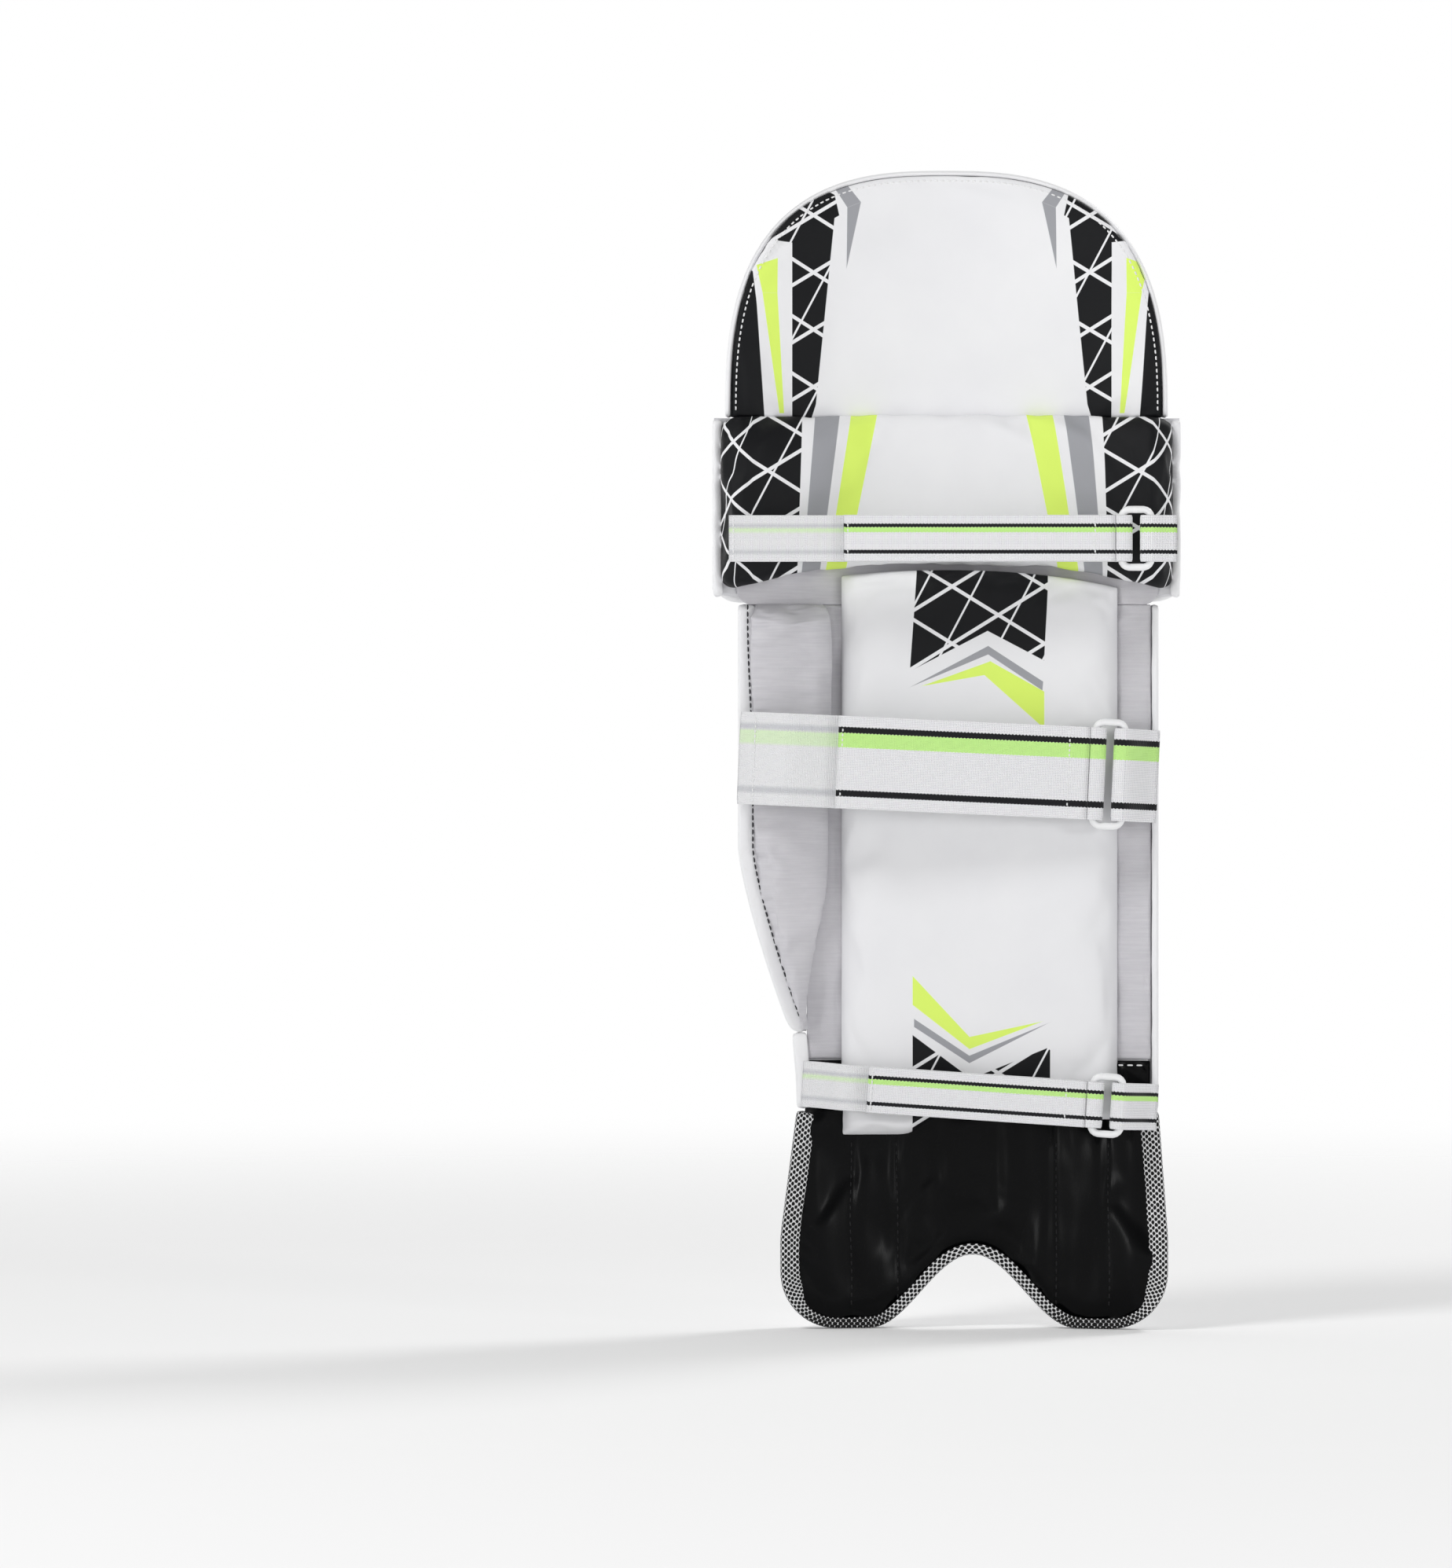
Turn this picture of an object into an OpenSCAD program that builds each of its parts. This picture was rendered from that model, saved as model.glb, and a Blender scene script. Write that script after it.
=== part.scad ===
// Cricket leg pad for one leg: a padded shell that wraps the shin, the knee and the lower thigh.
// Z runs up the leg from the lowest point of the foot lobes. The front of the pad faces -Y, the leg lies on
// the +Y side, and +X is the side of the wing. The pad follows a cylinder whose axis is at x = 0, y = wrap_r.

/* [Wrap and layers] */
// Radius of the front face of the backing foam, round the leg
wrap_r = 320; // [290:5:420]
// Thickness of the backing foam
base_t = 6; // [4:0.5:9]
// Thickness of the quilted lining behind the backing foam
lining_t = 2; // [1:0.5:4]
// Width of the bound edge round the shin and the foot
edging_w = 6; // [4:0.5:9]
// Height of the binding over the front and back faces that it wraps
edging_t = 1; // [0.5:0.25:2]

/* [Shin and foot] */
// Height of the seam between the shin and the knee
shin_h = 394; // [370:1:430]
// Distance of the bound edge of the shin from the leg axis, away from the wing
shin_left = 112; // [104:1:118]
// Distance of the wing seam from the leg axis
shin_right = 78; // [74:1:86]
// Distance of the outer edge of each foot lobe from the middle of the notch
foot_half = 105; // [101:1:112]
// Place of the middle of the foot notch across the leg
foot_x = -12; // [-16:1:-9]
// Height below which the lobes have their full width
lobe_h = 50; // [42:1:60]
// Radius of the outer corners of the lobes
lobe_r = 31; // [24:1:36]
// Height of the foot notch
notch_h = 40; // [30:1:50]
// Half of the width of the foot notch
notch_half = 56; // [48:1:62]
// Height of the top of the instep panel, where the short channels end
instep_h = 119; // [105:1:135]
// Thickness of the instep panel
instep_t = 8; // [5:0.5:12]
// Height of the seam between the satin instep lining and the shin lining
satin_h = 146; // [138:1:158]

/* [Cane channels] */
// Distance of the rounded crown's centre from the backing foam
channel_stand = 4; // [2:0.5:7]
// Extra fullness of each channel just under the knee
bulge_t = 2; // [1:0.5:4]
// Height of the full part of each channel
bulge_h = 24; // [16:1:34]
// Height of the lower end of the long channels
long_channel_z = 12; // [10:1:20]
// Diameter of a cane rod
cane_d = 7; // [5:0.5:9]
// Distance from the lower end of a channel to the lower end of its rod
cane_end = 33; // [20:1:45]

/* [Wing] */
// Height of the lower end of the wing
wing_end_z = 161; // [155:1:172]
// Width of the wing at its widest
wing_w = 38; // [34:1:42]
// Height over which the wing narrows towards its lower end
wing_taper_h = 100; // [80:1:130]
// Thickness of the front panel of the wing
wing_face_t = 10; // [8:0.5:13]
// Height of the front panel over the front of the backing foam
wing_rise = 8; // [5:0.5:10]
// Thickness of the bolster behind the wing
wing_bolster_t = 20; // [14:0.5:26]
// Width of the turned edge of the wing
wing_edge_w = 5; // [3:0.5:7]

/* [Knee] */
// Height of the knee section
knee_h = 100; // [90:1:115]
// Place of the middle of the knee across the leg
knee_x = 3; // [0:1:6]
// Half of the width of the knee
knee_half = 126; // [122:1:132]
// Depth of the knee rolls
roll_depth = 32; // [24:1:40]
// Gap between one knee roll and the next
roll_gap = 0.5; // [0.3:0.1:1.5]
// Thickness of the bolster behind the knee
knee_bolster_t = 24; // [16:1:30]
// How far the knee tilts back on the shin, in degrees
knee_flex = 10; // [6:1:12]

/* [Top hat] */
// Height of the top hat over the knee
top_h = 136; // [120:1:155]
// Half of the width of the top hat at its foot
top_half = 120; // [114:1:122]
// Exponent of its dome: 2 is an ellipse, more is squarer
dome_n = 2.7; // [2.2:0.1:3.4]
// Height of the crest of a front panel over the backing foam
panel_t = 13; // [9:0.5:17]
// Radius of the crown of a front panel
panel_r = 26; // [22:1:40]
// Thickness of the padded back of the top hat
top_lining_t = 8; // [5:0.5:12]
// Width of the piped edge of the top hat
piping_w = 4; // [3:0.5:6]
// How far the top hat tilts back on the knee, in degrees
top_flex = 15; // [8:1:18]

/* [Shin bolster] */
// Half of the width of the bolster
bolster_half = 75.5; // [70:0.5:80]
// Place of its middle across the leg
bolster_x = -13.5; // [-16:0.5:-10]
// Thickness of the bolster at its middle
bolster_t = 20; // [15:0.5:22]
// Height of the lower end of the bolster
bolster_z = 105; // [98:1:112]
// Thickness of the cloth covers of all bolsters
cover_t = 1.2; // [0.8:0.1:2]

/* [Straps] */
// Thickness of the webbing
web_t = 1.6; // [1.2:0.1:2.2]
// Width of the knee and ankle webbing
narrow_web = 25; // [20:1:30]
// Width of the calf webbing
wide_web = 50; // [40:1:56]
// Diameter of the bars of a ring
ring_bar_d = 4; // [3:0.25:5]
// Distance between the two long bars of a ring
ring_pitch = 16; // [15:0.5:19]
// Length that the webbing takes to rise from its sewn end
lead_len = 20; // [14:1:30]
// Length of a hook patch under the free end of a tail
hook_len = 50; // [30:1:60]
// Length of a loop patch on the strap
loop_len = 90; // [70:1:110]

/* [Knee strap] */
// Distance of the sewn end from the edge of the knee
knee_sewn_in = 8; // [5:1:17]
// Distance of the end of the ring tab from the edge of the knee
knee_tab_in = 3; // [2:1:8]
// Height of the strap over the knee seam
knee_strap_up = 34; // [28:1:60]
// Distance of the ring from the end of its tab
knee_ring_in = 22; // [20:1:30]
// Length of the tail
knee_tail_len = 146; // [120:1:170]

/* [Calf strap] */
// Distance of the sewn end from the edge of the wing
calf_sewn_in = 6; // [4:1:14]
// Distance of the sewn end below the knee seam
calf_sewn_down = 84; // [76:1:105]
// Distance of the end of the ring tab below the knee seam
calf_tab_down = 94; // [84:1:110]
// Distance of the ring from the end of its tab
calf_ring_in = 28; // [24:1:34]
// Length of the tail
calf_tail_len = 136; // [120:1:150]
// Height of the strap over the line between its sewn ends
calf_lift = 10; // [8:0.5:14]

/* [Ankle strap] */
// Distance of the sewn end from the edge of the shin
ankle_sewn_in = 8; // [4:1:14]
// Height of the sewn end
ankle_sewn_z = 133; // [126:1:138]
// Height of the end of the ring tab
ankle_tab_z = 121; // [118:1:132]
// Distance of the ring from the end of its tab
ankle_ring_in = 27; // [24:1:32]
// Length of the tail
ankle_tail_len = 118; // [95:1:125]
// Height of the strap over the line between its sewn ends
ankle_lift = 14; // [12:0.5:17]

/* [Hidden] */
$fn = 64;

// Clearances: between sewn layers, between sections that move, round a rod, and under a sewn strap end
layer_gap = 0.15;
move_gap = 0.3;
rod_gap = 0.15;
strap_seat = 0.8;
web_gap = 0.1;
// Height of the lining's back face, the bound edge and the wing over the wrap axis
lining_back_r = wrap_r - base_t - layer_gap - lining_t;
edging_back_r = lining_back_r - edging_t;
wing_mid_r = wrap_r + wing_rise - wing_face_t;
wing_back_r = wing_mid_r - layer_gap - wing_bolster_t;
wing_x = shin_right + move_gap;
knee_front_r = wrap_r + layer_gap;
knee_back_r = wrap_r - base_t - layer_gap - knee_bolster_t;
top_back_r = wrap_r - base_t - layer_gap - top_lining_t;
// Seven channels across the shin, of which the middle three stop at the instep panel
channel_count = 7;
short_first = 3;
short_last = 5;
channel_left = -shin_left + edging_w;
channel_pitch = (shin_right - channel_left) / channel_count;
channel_r = channel_pitch / 2 - layer_gap;
// Eight panels across the top hat and three rolls across the knee
panel_count = 8;
panel_pitch = 2 * (top_half - piping_w) / panel_count;
roll_count = 3;
roll_pitch = knee_h / roll_count;
roll_r = (roll_pitch - roll_gap) / 2;
// Section heights, and the depth of the two flex lines inside the backing foam
knee_z = shin_h + move_gap;
top_z = shin_h + knee_h + move_gap;
flex_y = base_t / 2;
// Depth of the tools that cut an outline through the wrapped wall, and room past a face that they cut
cut_depth = wrap_r / 2;
cut_front = -roll_depth - panel_t;
past = 1;
// Steps along a rounded stretch of an outline
arc_steps = 8;
curve_steps = 16;
dome_steps = 32;
// Level of the middle of the ring's bars, and of the tail, over the front face of the strap
fold_r = ring_bar_d / 2 + web_gap;
bar_level = web_t + fold_r;
tail_level = web_t + 2 * fold_r;
fold_stub = 3;
ring_side = 1;
tab_sewn = 4;

// Depth of a wrapped face of radius r at a place x across the leg
function arc_y(x, r) = wrap_r - sqrt(r * r - x * x);

// Places across the leg of the ends of the straps
knee_tab_x = knee_x - knee_half + knee_tab_in;
knee_sewn_x = knee_x + knee_half - knee_sewn_in;
calf_sewn_x = shin_right + wing_w - calf_sewn_in;
ankle_sewn_x = shin_right + edging_w - ankle_sewn_in;

// Each strap: end of the ring tab, sewn end, webbing width, lift, ring distance, tail length
knee_set = [
    [knee_tab_x, arc_y(knee_tab_x, knee_back_r) + strap_seat, shin_h + knee_strap_up],
    [knee_sewn_x, arc_y(knee_sewn_x, knee_back_r) + strap_seat, shin_h + knee_strap_up],
    narrow_web, 0, knee_ring_in, knee_tail_len];
calf_set = [
    [-shin_left + past, arc_y(shin_left, edging_back_r) + strap_seat, shin_h - calf_tab_down],
    [calf_sewn_x, arc_y(calf_sewn_x, wing_back_r - edging_t) + strap_seat, shin_h - calf_sewn_down],
    wide_web, calf_lift, calf_ring_in, calf_tail_len];
ankle_set = [
    [-shin_left + past, arc_y(shin_left, edging_back_r) + strap_seat, ankle_tab_z],
    [ankle_sewn_x, arc_y(ankle_sewn_x, lining_back_r) + strap_seat, ankle_sewn_z],
    narrow_web, ankle_lift, ankle_ring_in, ankle_tail_len];
function tab_end(s) = s[0];
function sewn_end(s) = s[1];
function web_of(s) = s[2];
function lift_of(s) = s[3];
function tail_of(s) = s[5];
function run_of(s) = norm(sewn_end(s) - tab_end(s));
function tab_bar(s) = s[4] - ring_pitch / 2;
function strap_bar(s) = s[4] + ring_pitch / 2;

// Lower edge of the foot: a smooth notch, drawn d inside the outline
function notch_slope(dx) = notch_h * PI / (2 * notch_half) * sin(180 * dx / notch_half);
function notch_z(dx, d) =
    notch_h * (1 + cos(180 * dx / notch_half)) / 2 + d * sqrt(1 + pow(notch_slope(dx), 2));

// Outline of the shin and foot as seen from the front, drawn d inside the bound edge
function shin_outline(d) = concat(
    [[-shin_left + d, shin_h], [-shin_left + d, instep_h], [foot_x - foot_half + d, lobe_h]],
    [for (i = [0:arc_steps])
        let (a = 180 + 90 * i / arc_steps)
        [foot_x - foot_half + lobe_r + (lobe_r - d) * cos(a), lobe_r + (lobe_r - d) * sin(a)]],
    [for (i = [0:curve_steps])
        let (dx = notch_half * (2 * i / curve_steps - 1))
        [foot_x + dx, notch_z(dx, d)]],
    [for (i = [0:arc_steps])
        let (a = 270 + 90 * i / arc_steps)
        [foot_x + foot_half - lobe_r + (lobe_r - d) * cos(a), lobe_r + (lobe_r - d) * sin(a)]],
    [[foot_x + foot_half - d, lobe_h],
        [shin_right + edging_w - d, instep_h],
        [shin_right + edging_w - d, wing_end_z - move_gap],
        [shin_right, wing_end_z - move_gap],
        [shin_right, shin_h]]);

// Outer edge of the wing at a height: full width above, narrowing to the lower end
function wing_narrow(z) = pow(max(0, wing_end_z + wing_taper_h - z) / wing_taper_h, 1.3);
function wing_edge(z) = shin_right + wing_w - 0.75 * wing_w * wing_narrow(z);

// Outline of the wing as seen from the front, drawn d inside its free edge and e inside its seam
function wing_outline(d, e) = concat(
    [[wing_x + e, shin_h - d], [wing_x + e, wing_end_z + d]],
    [for (i = [0:curve_steps])
        let (z = wing_end_z + d + wing_taper_h * i / curve_steps)
        [wing_edge(z - d) - d, z]],
    [[shin_right + wing_w - d, shin_h - d]]);

// Dome of the top hat as seen from the front, drawn d inside its edge
function dome_outline(d) = [for (i = [0:dome_steps])
    let (a = 180 * i / dome_steps)
    [knee_x + (top_half - d) * sign(cos(a)) * pow(abs(cos(a)), 2 / dome_n),
        top_z + (top_h - move_gap - d) * pow(sin(a), 2 / dome_n)]];

// Wall between two radii of the wrap, over a range of heights
module wall(r_in, r_out, z0, z1) {
    translate([0, wrap_r, z0])
        difference() {
            cylinder(r = r_out, h = z1 - z0, $fn = 180);
            translate([0, 0, -past]) cylinder(r = r_in, h = z1 - z0 + 2 * past, $fn = 180);
        }
}

// Prism of a front outline, cut through the wall from front to back
module through(points) {
    translate([0, cut_depth, 0])
        rotate([90, 0, 0]) linear_extrude(cut_depth - cut_front) polygon(points);
}

// Wedge that is cut from the foot of a section, so that it can tilt back on the one below
module flex_relief(z, angle) {
    translate([-wrap_r, flex_y, z])
        rotate([angle, 0, 0]) translate([0, 0, -knee_h]) cube([2 * wrap_r, wrap_r, knee_h]);
}

// Shin and foot

module shin_base() {
    color("gainsboro")
        intersection() {
            wall(wrap_r - base_t, wrap_r, 0, shin_h);
            through(shin_outline(edging_w + layer_gap));
        }
}

module lining_part(z0, z1) {
    intersection() {
        wall(lining_back_r, lining_back_r + lining_t, z0, z1);
        through(shin_outline(edging_w + layer_gap));
    }
}

module shin_lining() {
    color("lightgray") lining_part(satin_h + layer_gap, shin_h);
}

module instep_lining() {
    color("black") lining_part(0, satin_h);
}

// The instep panel fills the place between the long channels under the three short ones
module instep_panel() {
    left = channel_left + (short_first - 1) * channel_pitch + layer_gap;
    right = channel_left + short_last * channel_pitch - layer_gap;
    color("white")
        intersection() {
            wall(wrap_r + layer_gap, wrap_r + instep_t, 0, instep_h - layer_gap);
            through(shin_outline(edging_w + layer_gap));
            translate([left, cut_front, 0]) cube([right - left, wrap_r, instep_h]);
        }
}

module edging(z0, z1) {
    intersection() {
        wall(edging_back_r, wrap_r + edging_t, z0, z1);
        difference() {
            through(shin_outline(0));
            through(shin_outline(edging_w));
        }
    }
}

module foot_binding() {
    color("dimgray") edging(0, instep_h);
}

// The far side has its turned edge up to the knee, the wing side only up to the wing
module side_edging() {
    bottom = instep_h + layer_gap;
    color("white") {
        intersection() {
            edging(bottom, shin_h);
            translate([-wrap_r, cut_front, 0]) cube([wrap_r, wrap_r, shin_h]);
        }
        intersection() {
            edging(bottom, wing_end_z - 2 * move_gap);
            translate([0, cut_front, 0]) cube([wrap_r, wrap_r, shin_h]);
        }
    }
}

function channel_x(i) = channel_left + (i - 0.5) * channel_pitch;
function channel_y(i) = arc_y(channel_x(i), wrap_r) - channel_stand;
function channel_bottom(i) = i < short_first || i > short_last ? long_channel_z : instep_h;

module channel_section(rise) {
    translate([0, -rise]) circle(r = channel_r);
    translate([-channel_r, -rise]) square([2 * channel_r, 2 * channel_r]);
}

// A channel is a rounded ridge on the backing foam, fuller at its top, with the bore of its cane rod
module shin_roll(i) {
    bottom = channel_bottom(i);
    top = shin_h - layer_gap;
    color("white")
        difference() {
            intersection() {
                translate([channel_x(i), channel_y(i), 0]) {
                    translate([0, 0, bottom]) linear_extrude(top - bottom) channel_section(0);
                    translate([0, 0, top - bulge_h]) linear_extrude(bulge_h) channel_section(bulge_t);
                }
                through(shin_outline(edging_w + layer_gap / 2));
            }
            translate([0, wrap_r, 0]) cylinder(r = wrap_r + layer_gap, h = shin_h + past, $fn = 180);
            translate([channel_x(i), channel_y(i), bottom + cane_end])
                cylinder(d = cane_d + 2 * rod_gap, h = shin_h);
        }
}

module cane_rods() {
    color("burlywood")
        for (i = [1:channel_count])
            translate([channel_x(i), channel_y(i), channel_bottom(i) + cane_end + rod_gap])
                cylinder(d = cane_d, h = shin_h - layer_gap - channel_bottom(i) - cane_end - rod_gap);
}

// The bolster has a flat back, turned to lie square on the wall at its middle
module bolster_block(inset) {
    front_r = lining_back_r - layer_gap;
    translate([0, wrap_r, 0])
        rotate([0, 0, asin(bolster_x / front_r)])
            intersection() {
                cylinder(r = front_r - inset, h = shin_h, $fn = 180);
                translate([-bolster_half + inset, -wrap_r, bolster_z + inset])
                    cube([2 * (bolster_half - inset), wrap_r - front_r + bolster_t - inset,
                        shin_h - bolster_z - 2 * inset]);
            }
}

module shin_bolster_cover() {
    color("white")
        difference() {
            bolster_block(0);
            bolster_block(cover_t);
        }
}

module shin_bolster_foam() {
    color("khaki") bolster_block(cover_t + layer_gap);
}

// Wing

module wing_face() {
    color("white")
        intersection() {
            wall(wing_mid_r, wrap_r + wing_rise, wing_end_z, shin_h);
            through(wing_outline(wing_edge_w + layer_gap, 0));
        }
}

module wing_block(inset) {
    intersection() {
        wall(wing_back_r + inset, wing_back_r + wing_bolster_t - inset, wing_end_z, shin_h);
        through(wing_outline(wing_edge_w + layer_gap + inset, inset));
    }
}

module wing_bolster_cover() {
    color("lightgray")
        difference() {
            wing_block(0);
            wing_block(cover_t);
        }
}

module wing_bolster_foam() {
    color("khaki") wing_block(cover_t + layer_gap);
}

module wing_edging() {
    color("white")
        intersection() {
            wall(wing_back_r - edging_t, wrap_r + wing_rise + edging_t, wing_end_z, shin_h);
            difference() {
                through(wing_outline(0, 0));
                through(wing_outline(wing_edge_w, -past));
            }
        }
}

// Knee

module knee_span(inset) {
    translate([knee_x - knee_half + inset, cut_front, knee_z + inset])
        cube([2 * (knee_half - inset), cut_depth - cut_front, knee_h - move_gap - 2 * inset]);
}

module knee_base() {
    color("gainsboro")
        difference() {
            intersection() {
                wall(wrap_r - base_t, wrap_r, knee_z, shin_h + knee_h);
                knee_span(0);
            }
            flex_relief(knee_z, knee_flex);
        }
}

// The first roll is the top one. Each is a round bolster bent along the wall
module knee_roll(i) {
    crown_r = knee_front_r + roll_depth - roll_r;
    level = shin_h + knee_h - (i - 0.5) * roll_pitch;
    color("white")
        difference() {
            intersection() {
                translate([0, wrap_r, level])
                    rotate_extrude($fn = 180) {
                        translate([crown_r, 0]) circle(r = roll_r);
                        translate([knee_front_r, -roll_r]) square([crown_r - knee_front_r, 2 * roll_r]);
                    }
                knee_span(0);
            }
            translate([0, wrap_r, shin_h]) cylinder(r = knee_front_r, h = knee_h + past, $fn = 180);
            flex_relief(knee_z, knee_flex);
        }
}

module knee_bolster_block(inset) {
    difference() {
        intersection() {
            wall(knee_back_r + inset, knee_back_r + knee_bolster_t - inset, knee_z, shin_h + knee_h);
            knee_span(inset);
        }
        flex_relief(knee_z + inset, knee_flex);
    }
}

module knee_bolster_cover() {
    color("whitesmoke")
        difference() {
            knee_bolster_block(0);
            knee_bolster_block(cover_t);
        }
}

module knee_bolster_foam() {
    color("khaki") knee_bolster_block(cover_t + layer_gap);
}

// Top hat

module top_wall(r_in, r_out, d) {
    difference() {
        intersection() {
            wall(r_in, r_out, top_z, shin_h + knee_h + top_h);
            through(dome_outline(d));
        }
        flex_relief(top_z, top_flex);
    }
}

module top_base() {
    color("gainsboro") top_wall(wrap_r - base_t, wrap_r, piping_w + layer_gap);
}

module top_lining() {
    color("whitesmoke") top_wall(top_back_r, top_back_r + top_lining_t, piping_w + layer_gap);
}

module top_piping() {
    color("white")
        difference() {
            top_wall(top_back_r - edging_t, wrap_r + edging_t, 0);
            through(dome_outline(piping_w));
        }
}

// The first panel is the one farthest from the wing
module top_panel(i) {
    x = knee_x - top_half + piping_w + (i - 0.5) * panel_pitch;
    crest = arc_y(x, wrap_r) - panel_t;
    color("white")
        difference() {
            intersection() {
                through(dome_outline(piping_w + layer_gap));
                translate([x, crest + panel_r, top_z]) cylinder(r = panel_r, h = top_h);
                translate([x - panel_pitch / 2 + layer_gap, crest, top_z])
                    cube([panel_pitch - 2 * layer_gap, panel_r + panel_t, top_h]);
            }
            translate([0, wrap_r, top_z - past])
                cylinder(r = wrap_r + layer_gap, h = top_h + 2 * past, $fn = 180);
            flex_relief(top_z, top_flex);
        }
}

// Straps. In a strap's own frame X runs from the end of the ring tab to the sewn end, and Y points away
// from the leg pad

module strap_frame(s) {
    span = sewn_end(s) - tab_end(s);
    translate(tab_end(s))
        rotate([0, -asin(span.z / norm(span)), atan2(span.y, span.x)]) children();
}

// Half of the webbing's turn round a bar, on the side that faces the slot of the ring
module half_fold() {
    intersection() {
        difference() {
            circle(r = fold_r + web_t);
            circle(r = fold_r);
        }
        translate([-2 * bar_level, -2 * bar_level]) square([2 * bar_level, 4 * bar_level]);
    }
}

module strap(s) {
    end = run_of(s);
    lift = lift_of(s);
    color("white")
        strap_frame(s)
            linear_extrude(web_of(s), center = true) {
                polygon([[end, 0], [end, web_t], [end - lead_len, lift + web_t], [end - lead_len, lift]]);
                translate([strap_bar(s), lift]) square([end - lead_len - strap_bar(s), web_t]);
                translate([strap_bar(s), lift + bar_level]) half_fold();
                translate([strap_bar(s), lift + tail_level]) square([fold_stub, web_t]);
            }
}

module tail(s) {
    color("white")
        strap_frame(s)
            linear_extrude(web_of(s), center = true)
                translate([strap_bar(s) + fold_stub + move_gap, lift_of(s) + tail_level])
                    square([tail_of(s), web_t]);
}

module hook_patch(s) {
    end = strap_bar(s) + fold_stub + move_gap + tail_of(s);
    color("whitesmoke")
        strap_frame(s)
            linear_extrude(web_of(s) - 2 * web_t, center = true)
                translate([end - hook_len - web_t, lift_of(s) + bar_level + move_gap / 2])
                    square([hook_len, fold_r - move_gap / 2]);
}

module loop_patch(s) {
    end = strap_bar(s) + fold_stub + move_gap + tail_of(s);
    color("snow")
        strap_frame(s)
            linear_extrude(web_of(s) - 2 * web_t, center = true)
                translate([end - loop_len, lift_of(s) + web_t])
                    square([loop_len, fold_r - move_gap / 2]);
}

// What is cut from a square loop end to round it
module fold_corners(width) {
    difference() {
        translate([0, -2 * bar_level, -width / 2]) cube([2 * bar_level, 4 * bar_level, width]);
        cylinder(r = bar_level, h = width + past, center = true);
    }
}

// The tab is one loop of webbing: two plies that are sewn flat at their end and turn round the bar
module tab(s) {
    bar = tab_bar(s);
    lift = lift_of(s);
    top = lift + tail_level;
    color("white")
        strap_frame(s)
            difference() {
                linear_extrude(web_of(s), center = true)
                    polygon([[0, 0], [0, 2 * web_t], [bar, top + web_t], [bar + bar_level, top + web_t],
                        [bar + bar_level, lift], [bar, lift]]);
                linear_extrude(web_of(s) + past, center = true)
                    polygon([[tab_sewn, web_t + (lift + fold_r) * tab_sewn / bar], [bar, top],
                        [bar, lift + web_t]]);
                translate([bar, lift + bar_level, 0])
                    cylinder(r = fold_r, h = web_of(s) + past, center = true);
                translate([bar, lift + bar_level, 0]) fold_corners(web_of(s) + past);
            }
}

module ring(s) {
    half_len = web_of(s) / 2 + ring_side + ring_bar_d / 2;
    color("white")
        strap_frame(s)
            translate([0, lift_of(s) + bar_level, 0]) {
                for (bar = [tab_bar(s), strap_bar(s)])
                    translate([bar, 0, 0]) cylinder(d = ring_bar_d, h = 2 * half_len, center = true);
                for (side = [-1, 1])
                    translate([tab_bar(s), 0, side * half_len])
                        rotate([0, 90, 0]) cylinder(d = ring_bar_d, h = ring_pitch);
                for (bar = [tab_bar(s), strap_bar(s)], side = [-1, 1])
                    translate([bar, 0, side * half_len]) sphere(d = ring_bar_d);
            }
}

shin_base();
shin_lining();
instep_lining();
instep_panel();
foot_binding();
side_edging();
cane_rods();
shin_roll(1);  // shin_roll_1
shin_roll(2);  // shin_roll_2
shin_roll(3);  // shin_roll_3
shin_roll(4);  // shin_roll_4
shin_roll(5);  // shin_roll_5
shin_roll(6);  // shin_roll_6
shin_roll(7);  // shin_roll_7
shin_bolster_cover();
shin_bolster_foam();
wing_face();
wing_bolster_cover();
wing_bolster_foam();
wing_edging();
knee_base();
knee_roll(1);  // knee_roll_1
knee_roll(2);  // knee_roll_2
knee_roll(3);  // knee_roll_3
knee_bolster_cover();
knee_bolster_foam();
top_base();
top_lining();
top_piping();
top_panel(1);  // top_panel_1
top_panel(2);  // top_panel_2
top_panel(3);  // top_panel_3
top_panel(4);  // top_panel_4
top_panel(5);  // top_panel_5
top_panel(6);  // top_panel_6
top_panel(7);  // top_panel_7
top_panel(8);  // top_panel_8
strap(knee_set);  // knee_strap
tail(knee_set);  // knee_tail
ring(knee_set);  // knee_ring
tab(knee_set);  // knee_tab
hook_patch(knee_set);  // knee_hook_patch
loop_patch(knee_set);  // knee_loop_patch
strap(calf_set);  // calf_strap
tail(calf_set);  // calf_tail
ring(calf_set);  // calf_ring
tab(calf_set);  // calf_tab
hook_patch(calf_set);  // calf_hook_patch
loop_patch(calf_set);  // calf_loop_patch
strap(ankle_set);  // ankle_strap
tail(ankle_set);  // ankle_tail
ring(ankle_set);  // ankle_ring
tab(ankle_set);  // ankle_tab
hook_patch(ankle_set);  // ankle_hook_patch
loop_patch(ankle_set);  // ankle_loop_patch
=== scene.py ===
import bisect
import math

import bpy
import bmesh
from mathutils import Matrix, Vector, noise
from mathutils.bvhtree import BVHTree


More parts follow.
